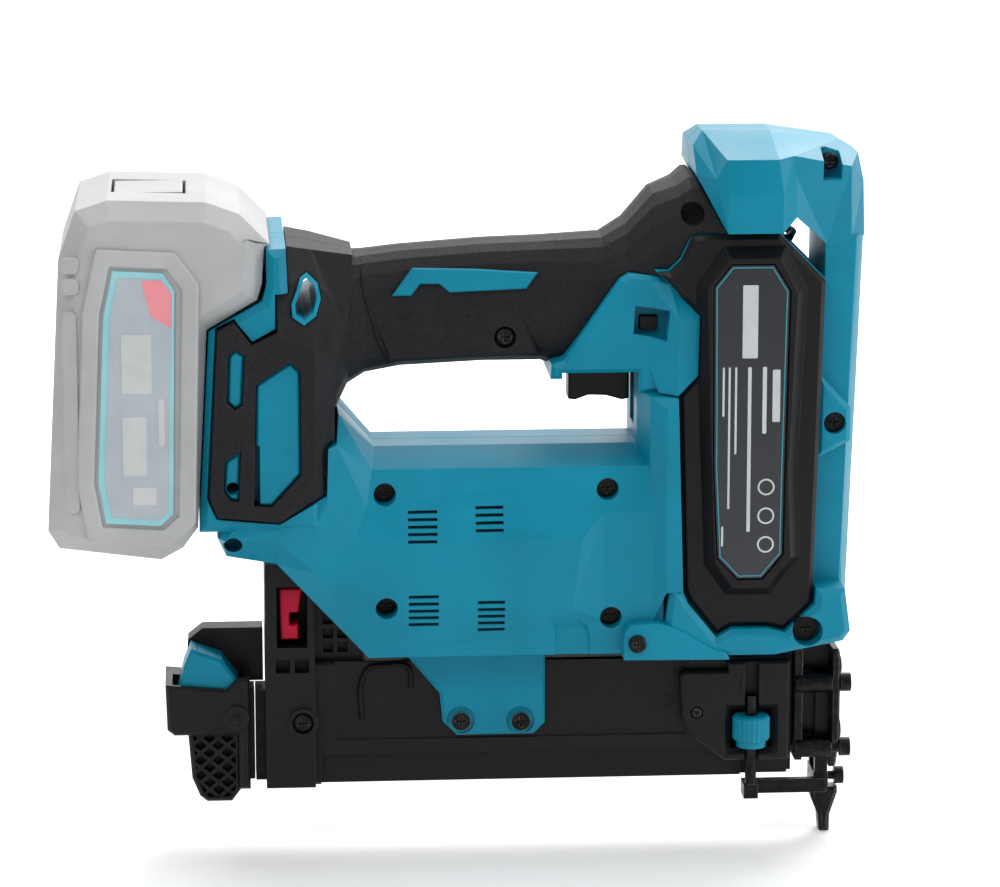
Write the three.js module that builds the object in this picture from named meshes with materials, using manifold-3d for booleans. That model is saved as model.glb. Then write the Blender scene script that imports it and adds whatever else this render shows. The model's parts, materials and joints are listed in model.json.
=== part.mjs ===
// Cordless brad nailer: two housing halves round a spring-driven tower, a motor bay below the grip,
// a side-loading brad magazine and a slide-on battery.
// +X points to the nose, +Z up, the right-hand side is -Y. Millimetres.
// The origin is the centre of the contact tip's flat lower face, where a brad leaves the tool.

import * as THREE from 'three';
import { mergeVertices } from 'three/addons/utils/BufferGeometryUtils.js';
import Module from 'manifold-3d';

const wasm = await Module();
wasm.setup();

// ---------------------------------------------------------------- driving dimensions

const GAP = 0.3; // clearance between touching pieces
const HALF_GAP = 0.15; // each housing half stops this far from the centre plane

// lengths along X, from the driver line back to the battery
const TOWER_DEPTH = 57;
const COLUMN_DEPTH = 12;
const OPENING_LENGTH = 102;
const REAR_DEPTH = 47;
const BATTERY_DEPTH = 51;
const MAGAZINE_TAIL = 25; // how far the magazine runs behind the grip opening
const MAGAZINE_START = 14; // the magazine begins this far behind the driver line

// heights along Z, from the contact tip up
const NOSE_LENGTH = 23;
const MAGAZINE_HEIGHT = 44;
const BODY_STANDOFF = 5.5;
const BODY_HEIGHT = 70.5;
const OPENING_HEIGHT = 27;
const GRIP_HEIGHT = 41;
const CAP_RISE = 39;

// half widths along Y
const BODY_HALF = 33;
const REAR_HALF = 38;
const GRIP_HALF = 17.5;
const TOWER_HALF = 34;
const CAP_HALF = 36.5;
const ARM_HALF = 20;
const MAGAZINE_HALF = 12;
const BRACKET_HALF = 16;
const NOSE_HALF = 13;
const BATTERY_HALF = 39.5;

// drive train
const WALL = 3;
const MOTOR_RADIUS = 23;
const MOTOR_LENGTH = 36;
const GEARBOX_RADIUS = 20.5;
const GEARBOX_LENGTH = 30;
const SHAFT_RADIUS = 4;
const PIN_CIRCLE = 9.5;
const PIN_RADIUS = 1.5;
const PIN_COUNT = 6;
const STROKE = 56;
const PLUNGER_RADIUS = 17;
const PLUNGER_HEIGHT = 13;
const SPRING_WIRE = 3;
const BLADE_THICKNESS = 1.4;
const BLADE_WIDTH = 2.2;
const RACK_HALF = 3.2;

// ---------------------------------------------------------------- stations

const openFront = -(TOWER_DEPTH + COLUMN_DEPTH);
const openRear = openFront - OPENING_LENGTH;
const rearFace = openRear - REAR_DEPTH;
const batteryBack = rearFace - BATTERY_DEPTH;
const towerRear = -TOWER_DEPTH;
const towerAxis = towerRear / 2 + 2;
const magFront = -MAGAZINE_START;
const magRear = openRear - MAGAZINE_TAIL;

const magBottom = NOSE_LENGTH;
const magTop = magBottom + MAGAZINE_HEIGHT;
const bodyBottom = magTop + BODY_STANDOFF;
const bodyTop = bodyBottom + BODY_HEIGHT;
const gripUnder = bodyTop + OPENING_HEIGHT;
const gripTop = gripUnder + GRIP_HEIGHT;
const capTop = gripTop + CAP_RISE;
const motorAxis = bodyBottom + 31.7;

// ---------------------------------------------------------------- finishes

const finish = (color, roughness, metalness = 0) => ({ color, roughness, metalness });
const TEAL = finish(0x0093ab, 0.5);
const BLACK_NYLON = finish(0x2b2a2d, 0.6);
const GRIP_RUBBER = finish(0x232226, 0.8);
const PLATE = finish(0x1e2630, 0.25);
const BLACK_OXIDE = finish(0x1b1a1a, 0.35, 0.9);
const STEEL = finish(0x8a8c8f, 0.35, 1);
const SPRING_STEEL = finish(0x6f7073, 0.4, 1);
const COPPER = finish(0xa8653a, 0.4, 1);
const RED_RUBBER = finish(0xd0103a, 0.5);
const PALE_GREY = finish(0xb5b6b7, 0.5);
const PALE_TEAL = finish(0x8cc3cc, 0.5);
const BOARD_GREEN = finish(0x1f5a3c, 0.6);
const LENS_CLEAR = finish(0xd8d8d0, 0.1);

// ---------------------------------------------------------------- solid helpers

function solid(geometry) {
  const bare = geometry.clone();
  bare.deleteAttribute('normal');
  bare.deleteAttribute('uv');
  const merged = mergeVertices(bare, 1e-4);
  return new wasm.Manifold(new wasm.Mesh({
    numProp: 3,
    vertProperties: new Float32Array(merged.attributes.position.array),
    triVerts: new Uint32Array(merged.index.array),
  }));
}

function fromTriangles(corners) {
  const geometry = new THREE.BufferGeometry();
  geometry.setAttribute('position', new THREE.Float32BufferAttribute(corners.flat(), 3));
  return geometry;
}

function signedVolume(corners) {
  let sum = 0;
  for (let i = 0; i < corners.length; i += 3) {
    const [a, b, c] = corners.slice(i, i + 3);
    sum += a[0] * (b[1] * c[2] - b[2] * c[1]) - a[1] * (b[0] * c[2] - b[2] * c[0])
      + a[2] * (b[0] * c[1] - b[1] * c[0]);
  }
  return sum / 6;
}

function closedSolid(corners) {
  if (signedVolume(corners) > 0) return solid(fromTriangles(corners));
  const flipped = [];
  for (let i = 0; i < corners.length; i += 3) flipped.push(corners[i], corners[i + 2], corners[i + 1]);
  return solid(fromTriangles(flipped));
}

const flatPoints = (outline) => outline.map(([u, v]) => new THREE.Vector2(u, v));
const outlineArea = (outline) => THREE.ShapeUtils.area(flatPoints(outline));
const triangulate = (outline) => THREE.ShapeUtils.triangulateShape(flatPoints(outline), []);

const PLACE = {
  x: (u, v, w) => [w, u, v], // outline in Y, Z
  y: (u, v, w) => [u, w, v], // outline in X, Z
  z: (u, v, w) => [u, v, w], // outline in X, Y
};

// Skin between outlines of equal count that lie on parallel planes, with flat ends.
function loft(axis, levels) {
  const place = PLACE[axis];
  const clockwise = outlineArea(levels[0].outline) < 0;
  const rings = levels.map(({ outline }) => (clockwise ? [...outline].reverse() : outline));
  const count = rings[0].length;
  const at = (k, i) => place(...rings[k][i % count], levels[k].at);
  const corners = [];
  for (let k = 0; k + 1 < rings.length; k += 1) {
    for (let i = 0; i < count; i += 1) {
      corners.push(at(k, i), at(k, i + 1), at(k + 1, i + 1));
      corners.push(at(k, i), at(k + 1, i + 1), at(k + 1, i));
    }
  }
  const last = rings.length - 1;
  for (const [i, j, k] of triangulate(rings[0])) corners.push(at(0, i), at(0, k), at(0, j));
  for (const [i, j, k] of triangulate(rings[last])) corners.push(at(last, i), at(last, j), at(last, k));
  return closedSolid(corners);
}

// Outline moved inwards by a distance, with mitred corners.
function inset(outline, distance) {
  const side = outlineArea(outline) > 0 ? 1 : -1;
  return outline.map((point, i) => {
    const before = outline[(i + outline.length - 1) % outline.length];
    const after = outline[(i + 1) % outline.length];
    const a = new THREE.Vector2(point[0] - before[0], point[1] - before[1]).normalize();
    const b = new THREE.Vector2(after[0] - point[0], after[1] - point[1]).normalize();
    const normal = new THREE.Vector2(-(a.y + b.y), a.x + b.x).normalize();
    const reach = Math.max(0.35, normal.x * -a.y + normal.y * a.x);
    return [point[0] + side * normal.x * distance / reach, point[1] + side * normal.y * distance / reach];
  });
}

// Flat piece in the XZ plane between two Y stations, chamfered round either face.
function plate(outline, yLow, yHigh, chamferLow = 0, chamferHigh = 0) {
  const levels = [{ at: yLow, outline: inset(outline, chamferLow) }];
  if (chamferLow) levels.push({ at: yLow + chamferLow, outline });
  if (chamferHigh) levels.push({ at: yHigh - chamferHigh, outline });
  levels.push({ at: yHigh, outline: inset(outline, chamferHigh) });
  return loft('y', levels);
}

// Faceted half body: named points [x, z, depth], faces as lists of names, closed at the centre plane.
function relief(points, faces, inner = HALF_GAP) {
  const corners = [];
  const edges = new Map();
  const front = (name) => [points[name][0], -points[name][2], points[name][1]];
  const back = (name) => [points[name][0], -inner, points[name][1]];
  for (const face of faces) {
    const loop = outlineArea(face.map((name) => points[name])) > 0 ? face : [...face].reverse();
    for (const [i, j, k] of triangulate(loop.map((name) => points[name]))) {
      corners.push(front(loop[i]), front(loop[j]), front(loop[k]));
      corners.push(back(loop[i]), back(loop[k]), back(loop[j]));
    }
    loop.forEach((name, i) => {
      const next = loop[(i + 1) % loop.length];
      const reverse = `${next}>${name}`;
      if (edges.has(reverse)) edges.delete(reverse);
      else edges.set(`${name}>${next}`, [name, next]);
    });
  }
  for (const [a, b] of edges.values()) {
    corners.push(front(a), back(a), back(b), front(a), back(b), front(b));
  }
  return closedSolid(corners);
}

function box(x, y, z) {
  const geometry = new THREE.BoxGeometry(x[1] - x[0], y[1] - y[0], z[1] - z[0]);
  geometry.translate((x[0] + x[1]) / 2, (y[0] + y[1]) / 2, (z[0] + z[1]) / 2);
  return solid(geometry);
}

// Round bar along an axis: `across` is its place on the other two axes, in X, Y, Z order.
function rod(axis, radius, from, to, across, segments = 24, endRadius = radius) {
  const geometry = new THREE.CylinderGeometry(endRadius, radius, to - from, segments);
  const middle = (from + to) / 2;
  if (axis === 'x') {
    geometry.rotateZ(-Math.PI / 2);
    geometry.translate(middle, across[0], across[1]);
  } else if (axis === 'y') {
    geometry.translate(across[0], middle, across[1]);
  } else {
    geometry.rotateX(Math.PI / 2);
    geometry.translate(across[0], across[1], middle);
  }
  return solid(geometry);
}

class Helix extends THREE.Curve {
  constructor(radius, turns, length) {
    super();
    Object.assign(this, { radius, turns, length });
  }

  getPoint(t, target = new THREE.Vector3()) {
    const angle = 2 * Math.PI * this.turns * t;
    return target.set(this.radius * Math.cos(angle), this.radius * Math.sin(angle), this.length * t);
  }
}

function ring(radius, sides) {
  const points = [];
  for (let i = 0; i < sides; i += 1) {
    const angle = 2 * Math.PI * i / sides;
    points.push(new THREE.Vector2(radius * Math.cos(angle), radius * Math.sin(angle)));
  }
  return new THREE.Shape(points);
}

// Coil spring standing on Z from its own origin.
function coil(radius, wire, turns, length, stepsPerTurn = 12) {
  return new THREE.ExtrudeGeometry(ring(wire / 2, 6), {
    steps: Math.round(turns * stepsPerTurn),
    extrudePath: new Helix(radius, turns, length),
    bevelEnabled: false,
  });
}

const join = (first, ...rest) => rest.reduce((sum, part) => sum.add(part), first);
const cut = (first, ...rest) => rest.reduce((left, part) => left.subtract(part), first);

// The largest body that a cut leaves: its offcuts fall away.
function keepLargest(part) {
  return part.decompose().reduce((best, body) => (body.volume() > best.volume() ? body : best));
}

// The same solid on the left-hand side.
function mirrored(part) {
  const mesh = part.getMesh();
  const flipped = Float32Array.from(mesh.vertProperties);
  for (let i = 1; i < flipped.length; i += 3) flipped[i] *= -1;
  const triangles = Uint32Array.from(mesh.triVerts);
  for (let i = 0; i < triangles.length; i += 3) {
    [triangles[i + 1], triangles[i + 2]] = [triangles[i + 2], triangles[i + 1]];
  }
  return new wasm.Manifold(new wasm.Mesh({ numProp: 3, vertProperties: flipped, triVerts: triangles }));
}

const nailer = new THREE.Group();
nailer.name = 'brad_nailer';

const SLIVER = 0.01; // edges shorter than this, left by joins, are closed up

function addPiece(name, part, look) {
  const mesh = part.simplify(SLIVER).getMesh();
  const geometry = new THREE.BufferGeometry();
  geometry.setAttribute('position', new THREE.Float32BufferAttribute(Float32Array.from(mesh.vertProperties), 3));
  geometry.setIndex(new THREE.BufferAttribute(Uint32Array.from(mesh.triVerts), 1));
  geometry.computeVertexNormals();
  const piece = new THREE.Mesh(geometry, new THREE.MeshStandardMaterial(look));
  piece.name = name;
  nailer.add(piece);
}

function addPair(name, part, look) {
  addPiece(`${name}_right`, part, look);
  addPiece(`${name}_left`, mirrored(part), look);
}

// ---------------------------------------------------------------- shared outlines and fits

// Edge between the teal tower frame and the black tower cover, from the top rear corner clockwise.
const coverOutline = [
  [towerRear + 9.5, gripTop + 6.5],
  [towerAxis + 5, gripTop + 6.5],
  [-5.5, gripTop - 9.5],
  [-7, magTop + 72],
  [-8.5, magTop + 22.5],
  [-18.5, magTop + 13],
  [-24.5, magTop + 14.5],
  [-37, magTop + 14.5],
  [-42, magTop + 11.5],
  [towerRear + 5.5, magTop + 23.5],
  [towerRear + 3.5, magTop + 28],
  [towerRear + 1.5, gripUnder - 7.5],
  [towerRear + 8.3, gripUnder - 1],
  [towerRear + 8.8, gripUnder + 20],
  [towerRear + 2, gripUnder + 26],
  [towerRear - 1, gripUnder + 29.5],
  [towerRear - 6.5, gripUnder + 35],
  [towerRear - 2, gripUnder + 35],
  [towerRear + 2, gripTop - 2],
  [towerRear + 5, gripTop + 4.5],
  [towerRear + 6, gripTop + 6],
];

// Edge of the teal trigger surround where it meets the grip.
const triggerOutline = [
  [openFront - 29.5, gripUnder - 2.5],
  [openFront - 29.2, gripUnder + 2.5],
  [openFront - 25, gripUnder + 4],
  [openFront - 6, gripUnder + 31.5],
  [openFront - 3, gripUnder + 33.5],
  [openFront + 7, gripUnder + 32.5],
  [towerRear - 0.5, gripUnder + 29.5],
  [towerRear + 2, gripUnder + 26],
  [towerRear + 8.8, gripUnder + 20],
  [towerRear + 8.3, gripUnder - 1],
  [towerRear + 1.5, gripUnder - 7.5],
  [openFront + 0.5, gripUnder - 7.5],
  [openFront + 0.5, gripUnder - 0.5],
  [openFront - 25.5, gripUnder - 0.5],
  [openFront - 25.5, gripUnder - 2.5],
];

// Recess in the rear of the housing that holds the grip's rear panel.
const panelOutline = [
  [openRear - 44, bodyTop - 12],
  [openRear - 40.5, bodyTop + 45.5],
  [openRear - 34.5, bodyTop + 48.5],
  [openRear - 28.5, bodyTop + 41],
  [openRear - 20.5, bodyTop + 45.5],
  [openRear - 20.5, bodyTop + 57],
  [openRear - 2, bodyTop + 57],
  [openRear - 0.5, bodyTop + 20],
  [openRear - 0.8, bodyTop + 6.8],
  [openRear - 3.7, bodyTop + 4.6],
  [openRear - 4.2, bodyTop - 12],
  [openRear - 20, bodyTop - 21],
  [openRear - 41, bodyTop - 19],
];
const PANEL_DEPTH = 8; // how deep the rear panel sits in the housing
const eyelet = [
  [-9.9, 62.9], [-6.3, 59.5], [-5.3, 54.7], [-7, 49.3], [-11.1, 46.6], [-15, 49.4], [-15.3, 53.5], [-13.6, 57.5],
  [-12.2, 61.6],
].map(([x, z]) => [openRear + x, bodyTop + z]); // strap hole behind the grip
const EYELET_WALL = 1.3;


// Teal pads of the housing show through these windows in the rear panel.
const panelWindows = [
  [[openRear - 16, bodyTop + 34.5], [openRear - 12.5, bodyTop + 31], [openRear - 12.5, bodyTop - 4],
    [openRear - 22.5, bodyTop - 15], [openRear - 28.5, bodyTop - 14.5], [openRear - 27.5, bodyTop + 27]],
  [[openRear - 34.3, bodyTop + 39], [openRear - 31, bodyTop + 37], [openRear - 32, bodyTop + 20],
    [openRear - 34.5, bodyTop + 18.5], [openRear - 37.2, bodyTop + 21], [openRear - 36.5, bodyTop + 37]],
  [[openRear - 38, bodyTop + 1], [openRear - 32.7, bodyTop + 4.5], [openRear - 33.5, bodyTop - 13],
    [openRear - 36.5, bodyTop - 12.5], [openRear - 38.7, bodyTop - 9]],
];

const holderTop = magTop + 35.5; // top of the spare tip's pocket

const motorStart = openRear + 8;
const motorEnd = motorStart + MOTOR_LENGTH;
const gearboxStart = motorEnd + 10;
const gearboxEnd = gearboxStart + GEARBOX_LENGTH;
const lifterX = -BLADE_THICKNESS / 2 - 3 - PIN_CIRCLE;
const bladeRack = lifterX + PIN_CIRCLE;
const bumperTop = motorAxis + PIN_CIRCLE + 14;
const plungerBottom = bumperTop + STROKE + GAP;
const plungerTop = plungerBottom + PLUNGER_HEIGHT;
const springTop = capTop - 9;
const bladeTip = magTop - 1;

const dialX = magFront - 13.6;
const dialLow = magBottom + 12;
const dialHigh = dialLow + 12;
const DIAL_RADIUS = 6.5;
const dialY = -MAGAZINE_HALF - 2.5;

const GUIDE_CORE_HALF = 5;
const armBlockLow = NOSE_LENGTH - 6.7;
const cheekIn = GUIDE_CORE_HALF + GAP;
const cheekOut = cheekIn + 2.4;
const leverIn = cheekOut - 0.2; // the contact arm's lever runs beside the magazine
const leverOut = leverIn + 2.6;

// ---------------------------------------------------------------- housing halves

const flapLeft = openRear + 35;
const flapRight = openFront - 30.5;
const flapBottom = magBottom + 17.5;
const flapOuter = MAGAZINE_HALF + 2.5;

function motorBlock() {
  const lowerLeft = openRear + 10;
  const right = towerRear - 3;
  const points = {
    topLeft: [openRear + 12.5, bodyTop, 12],
    topRight: [right, bodyTop, 12],
    shoulderLeft: [openRear + 11.5, bodyTop - 5, 27],
    shoulderRight: [right, bodyTop - 5, 27],
    ridgeLeft: [openRear + 9.5, bodyTop - 17, 31.5],
    midLeft: [openRear + 5.5, bodyTop - 28, BODY_HALF],
    midRight: [openFront - 19.5, bodyTop - 29, BODY_HALF],
    stepTop: [openFront - 11.5, bodyTop - 20.5, 29.5],
    stepTopEnd: [right, bodyTop - 20.5, 29.5],
    lowLeft: [openRear + 17, bodyBottom + 18.5, BODY_HALF],
    lowRight: [openFront - 22.5, bodyBottom + 17.5, BODY_HALF],
    stepLow: [openFront - 11.5, bodyBottom + 12, 29.5],
    footLeft: [lowerLeft, bodyBottom, 28],
    footRight: [right, bodyBottom, 28],
    cornerHigh: [openRear + 0.5, bodyTop + 13, 20],
    cornerRim: [openRear - 0.5, bodyTop + 5, 33],
    rimHigh: [openRear - 3.5, bodyTop + 4, 36],
    rimLow: [openRear - 4, bodyTop - 15, 36],
    rimCorner: [openRear - 7, bodyTop - 20.5, 36],
    shelfRight: [openRear - 21.5, bodyTop - 27, 36],
    shelfLeft: [openRear - 38.5, bodyTop - 27, 36],
    facetLow: [openRear - 7.5, bodyTop - 39.5, BODY_HALF],
    keelRight: [openRear - 21, bodyTop - 37.5, 26],
    keelLeft: [openRear - 38, bodyTop - 34.5, 26],
    rearLeft: [openRear - 41, bodyTop - 27, 30],
    insideTop: [openRear - 8, bodyTop + 4, 30],
    insideLeft: [openRear - 38.5, bodyTop - 20.5, 30],
    sillLeft: [openRear - 41, bodyTop - 20.5, 30],
  };
  return relief(points, [
    ['topLeft', 'topRight', 'shoulderRight', 'shoulderLeft'],
    ['shoulderLeft', 'shoulderRight', 'stepTopEnd', 'stepTop', 'midRight', 'midLeft', 'ridgeLeft'],
    ['midLeft', 'midRight', 'lowRight', 'lowLeft'],
    ['midRight', 'stepTop', 'stepLow', 'lowRight'],
    ['stepTop', 'stepTopEnd', 'footRight', 'stepLow'],
    ['lowLeft', 'lowRight', 'stepLow', 'footRight', 'footLeft'],
    ['midLeft', 'lowLeft', 'footLeft', 'facetLow'],
    ['topLeft', 'shoulderLeft', 'cornerRim', 'cornerHigh'],
    ['shoulderLeft', 'ridgeLeft', 'rimLow', 'rimHigh', 'cornerRim'],
    ['ridgeLeft', 'midLeft', 'rimCorner', 'rimLow'],
    ['midLeft', 'facetLow', 'shelfRight', 'rimCorner'],
    ['facetLow', 'keelRight', 'shelfRight'],
    ['facetLow', 'footLeft', 'keelRight'],
    ['shelfRight', 'keelRight', 'keelLeft', 'shelfLeft'],
    ['shelfLeft', 'keelLeft', 'rearLeft'],
    ['rimHigh', 'rimLow', 'rimCorner', 'shelfRight', 'shelfLeft', 'insideLeft', 'insideTop'],
    ['shelfLeft', 'rearLeft', 'sillLeft', 'insideLeft'],
  ]);
}

function rearFrame(grow = 0) {
  const outline = [
    [rearFace, bodyTop - 24],
    [rearFace + 4, bodyTop + 44.5],
    [openRear - 25, bodyTop + 54.5],
    [openRear - 23.5, bodyTop + 60],
    [openRear - 23.5, gripTop + 4],
    [openRear - 17, gripTop + 4.3],
    [openRear - 16, bodyTop + 46],
    [openRear - 6, bodyTop + 40],
    [openRear - 6, bodyTop - 24],
  ];
  return plate(inset(outline, -grow), -REAR_HALF + 1 - grow, grow ? 1 : -HALF_GAP, 2.5);
}

function triggerSurround() {
  const base = plate(triggerOutline, -24, -HALF_GAP, 1.5);
  const column = relief({
    a: [openFront + 0.5, gripUnder - 7, 17],
    b: [openFront + 0.5, bodyTop - 1, 17],
    c: [openFront + 4, gripUnder - 8, 28],
    d: [openFront + 4, bodyBottom + 8, 28],
    e: [openFront + 9.5, gripUnder - 12, 32.5],
    f: [openFront + 9.5, bodyBottom + 22, 32.5],
    g: [towerRear + 1.2, gripUnder - 8, 32.5],
    h: [towerRear + 3.2, magTop + 28, 32.5],
    k: [openFront + 0.5, bodyBottom + 8, 17],
  }, [
    ['a', 'b', 'd', 'c'],
    ['b', 'k', 'd'],
    ['c', 'd', 'f', 'e'],
    ['e', 'f', 'h', 'g'],
    ['a', 'c', 'e', 'g'],
  ]);
  const front = relief({
    a: [towerRear - 9, gripUnder + 32, 23],
    b: [towerRear - 1.4, gripUnder + 30, 25],
    c: [towerRear + 1.8, gripUnder + 26.3, 26],
    d: [towerRear + 8.5, gripUnder + 19.8, 29],
    e: [towerRear + 8, gripUnder - 0.8, 29],
    f: [towerRear + 1.2, gripUnder - 7.3, 31],
    g: [towerRear + 1.3, gripUnder + 19, 31],
    h: [towerRear + 1.3, gripUnder - 2, 31],
    k: [towerRear - 5, gripUnder - 7, 27],
    m: [towerRear - 9, gripUnder + 4, 23.5],
  }, [
    ['a', 'm', 'h', 'g', 'b'],
    ['b', 'g', 'd', 'c'],
    ['g', 'h', 'e', 'd'],
    ['h', 'f', 'e'],
    ['m', 'k', 'f', 'h'],
  ]);
  return join(base, column, front);
}

function towerBase() {
  const outline = [
    [towerRear - 4, bodyBottom],
    [towerRear - 1, magTop + 30],
    [towerRear + 3.2, magTop + 28],
    [towerRear + 5.2, magTop + 23.3],
    [-42, magTop + 11.2],
    [-37, magTop + 14.2],
    [-24.5, magTop + 14.2],
    [-18.5, magTop + 12.7],
    [-8.2, magTop + 22.4],
    [-7.9, magTop + 28],
    [2, magTop + 28],
    [4, magTop + 13],
    [1.5, magTop + 9.5],
    [-22, magTop + 5],
    [-37.5, magTop + 5],
  ];
  return plate(outline, -TOWER_HALF + 1, -HALF_GAP, 2);
}

function towerWall() {
  return plate(coverOutline, -TOWER_HALF + 8, -HALF_GAP);
}

function frontArm() {
  const right = (z) => 4.5 + 5 * (z - magTop - 13) / (gripTop - magTop);
  const low = magTop + 10;
  const high = gripTop + 4;
  const boss = gripUnder - 28;
  const points = {
    a: [-8.2, low, ARM_HALF],
    b: [right(low) - 3.5, low, ARM_HALF],
    c: [right(low), low, 12],
    d: [-4.9, high - 12, ARM_HALF],
    e: [right(high) - 3.5, high, ARM_HALF],
    f: [right(high), high, 12],
    g: [-4.9, high, ARM_HALF],
    h: [-7.1, boss, ARM_HALF],
  };
  const spine = relief(points, [
    ['a', 'b', 'e', 'g', 'd', 'h'],
    ['b', 'c', 'f', 'e'],
  ]);
  const bossOutline = [
    [-7, gripUnder - 1.5], [4, gripUnder - 13.5], [4, gripUnder - 25], [-7.4, gripUnder - 31],
  ];
  return join(spine, plate(bossOutline, -ARM_HALF - 5, -ARM_HALF + 4, 1.5));
}

function cap() {
  const front = CAP_HALF;
  const points = {
    tip: [towerRear + 7, capTop - 4, 16],
    topRear: [towerRear + 11, capTop, 8],
    topMid: [towerAxis + 3.5, capTop, 8],
    topFront: [0, capTop - 3.5, 8],
    noseTop: [7.5, capTop - 8, 8],
    noseMid: [9, capTop - 17, 12],
    noseLow: [9.5, gripTop + 3, 12],
    lipRear: [towerRear + 16.5, capTop - 6.5, front - 1.5],
    lipMid: [towerAxis + 3.5, capTop - 6.5, front - 1.5],
    lipStep: [towerAxis + 9, capTop - 6, 30],
    lipFront: [3, capTop - 10.5, 24],
    shoulderRear: [towerRear + 13, capTop - 13, front - 3],
    bandRear: [towerRear + 17, capTop - 18, front],
    bandMid: [towerAxis + 5, capTop - 18, front],
    bandStep: [towerAxis + 10, capTop - 13, 29],
    seamHigh: [towerRear + 7.5, gripTop + 26, 24],
    seamLow: [towerRear + 17, gripTop + 7.8, front],
    footMid: [towerAxis + 5, gripTop + 7.8, front],
    footStep: [towerAxis + 10.5, gripTop + 12, 29],
    footFront: [-4.5, gripTop + 1.5, 20],
    edgeFront: [4, gripTop + 3, 20],
  };
  return relief(points, [
    ['tip', 'topRear', 'lipRear', 'shoulderRear'],
    ['topRear', 'topMid', 'lipMid', 'lipRear'],
    ['topMid', 'topFront', 'lipFront', 'lipStep', 'lipMid'],
    ['topFront', 'noseTop', 'noseMid', 'lipFront'],
    ['tip', 'shoulderRear', 'seamLow', 'seamHigh'],
    ['shoulderRear', 'lipRear', 'bandRear'],
    ['shoulderRear', 'bandRear', 'seamLow'],
    ['lipRear', 'lipMid', 'bandMid', 'bandRear'],
    ['lipMid', 'lipStep', 'bandStep', 'bandMid'],
    ['bandRear', 'bandMid', 'footMid', 'seamLow'],
    ['bandMid', 'bandStep', 'footStep', 'footMid'],
    ['lipStep', 'lipFront', 'edgeFront', 'footFront', 'footStep', 'bandStep'],
    ['lipFront', 'noseMid', 'noseLow', 'edgeFront'],
  ]);
}

function magazineFlap() {
  const outline = [
    [flapLeft - 12, bodyBottom + 3],
    [flapLeft - 12, bodyBottom - 2.5],
    [flapLeft, magTop - 11.5],
    [flapLeft + 1, flapBottom + 5],
    [flapLeft + 6, flapBottom],
    [flapRight - 4, flapBottom],
    [flapRight, flapBottom + 4],
    [flapRight, bodyBottom + 3],
  ];
  return plate(outline, -flapOuter, -MAGAZINE_HALF - GAP, 1.2);
}

function bays() {
  const rotorBay = rod('x', MOTOR_RADIUS + 1, openRear - 4, openFront - 2, [0, motorAxis], 32);
  const springBay = rod('z', PLUNGER_RADIUS + 2, bumperTop - 8, capTop - WALL - 3, [towerAxis, 0], 32);
  const bladeBay = box([towerAxis, BLADE_THICKNESS / 2 + 2], [-7, 1], [magTop - 2, plungerTop + 3]);
  const lifterBay = box([openFront - 4, BLADE_THICKNESS / 2 + 1.5], [-19, 1], [motorAxis - 16, motorAxis + 16]);
  const rearBay = box([rearFace + WALL, openRear - 3], [-REAR_HALF + PANEL_DEPTH + WALL, 1], [bodyTop - 21, gripTop - 6]);
  const wireBay = box([openRear - 6, openRear + 6], [-14, 1], [motorAxis - 12, motorAxis + 18]);
  const triggerBay = box([openFront - 24.5, openFront + 6], [-6.5, 1], [gripUnder - 22, gripUnder + 24]);
  const lampBay = box([-14, -3], [-9, 1], [magTop - 1, magTop + 9]);
  return [rotorBay, springBay, bladeBay, lifterBay, rearBay, wireBay, triggerBay, lampBay];
}

const SCREWS = [
  [openRear + 15.7, bodyTop - 13.2],
  [openFront - 10.4, bodyTop - 12.7],
  [openRear + 16.1, bodyBottom + 18.3],
  [openFront - 9.2, bodyBottom + 13.1],
];
const SCREW_HOLE = 3.8;
const SCREW_FLOOR = 22; // the housing screws seat this far from the centre plane
const SCREW_HEAD = 3.3;
const SCREW_SHANK = 1.6;
const FLAP_SCREWS = [[flapLeft + 7.3, magTop - 20.9], [flapRight - 8.5, magTop - 21.3]];
const FLAP_RECESS = 4.8;
const REAR_HOLE = [rearFace + 11.3, bodyTop - 29.1];
const PAD_HOLE = [rearFace + 11.4, bodyTop - 8.5];
const BASE_SCREW = [-10.8, magTop + 13.2];
const ARM_SCREW = [-1.5, gripUnder - 18.6];
const CAP_SCREW = [-3.6, capTop - 11.5];

function screwHoles() {
  const holes = SCREWS.map(([x, z]) => rod('y', SCREW_HOLE, -40, -SCREW_FLOOR, [x, z], 20));
  holes.push(rod('y', 5.2, -40, -SCREW_FLOOR - 2, BASE_SCREW, 20));
  holes.push(rod('y', SCREW_HOLE, -40, -ARM_HALF, ARM_SCREW, 20));
  holes.push(rod('y', 3.2, -60, -SCREW_FLOOR, REAR_HOLE, 16));
  holes.push(rod('y', 2.2, -60, -SCREW_FLOOR, PAD_HOLE, 16));
  FLAP_SCREWS.forEach((place) => {
    holes.push(rod('y', FLAP_RECESS, -40, -flapOuter + 0.7, place, 24));
    holes.push(rod('y', SCREW_SHANK + GAP, -40, 0, place, 16));
  });
  holes.push(box([CAP_SCREW[0] - 3.3, CAP_SCREW[0] + 3.3], [-40, -16], [CAP_SCREW[1] - 3.5, CAP_SCREW[1] + 6.5]));
  return holes;
}

// Cooling slots beside the motor: place of the group's first slot, slot length and slot count.
const VENTS = [
  [openRear + 23.4, bodyTop - 18.5, 10, 5],
  [openRear + 46.4, bodyTop - 17.5, 9.5, 4],
  [openRear + 23.6, bodyBottom + 22.8, 10.2, 5],
  [openRear + 47.1, bodyBottom + 20.5, 9.2, 5],
];
const VENT_PITCH = 2.5;
const VENT_WIDTH = 1.1;

function ventSlots() {
  return VENTS.flatMap(([x, z, length, count]) => Array.from({ length: count }, (_, i) => (
    box([x, x + length], [-60, -MOTOR_RADIUS + 3], [z - i * VENT_PITCH - VENT_WIDTH, z - i * VENT_PITCH]))));
}

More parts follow.
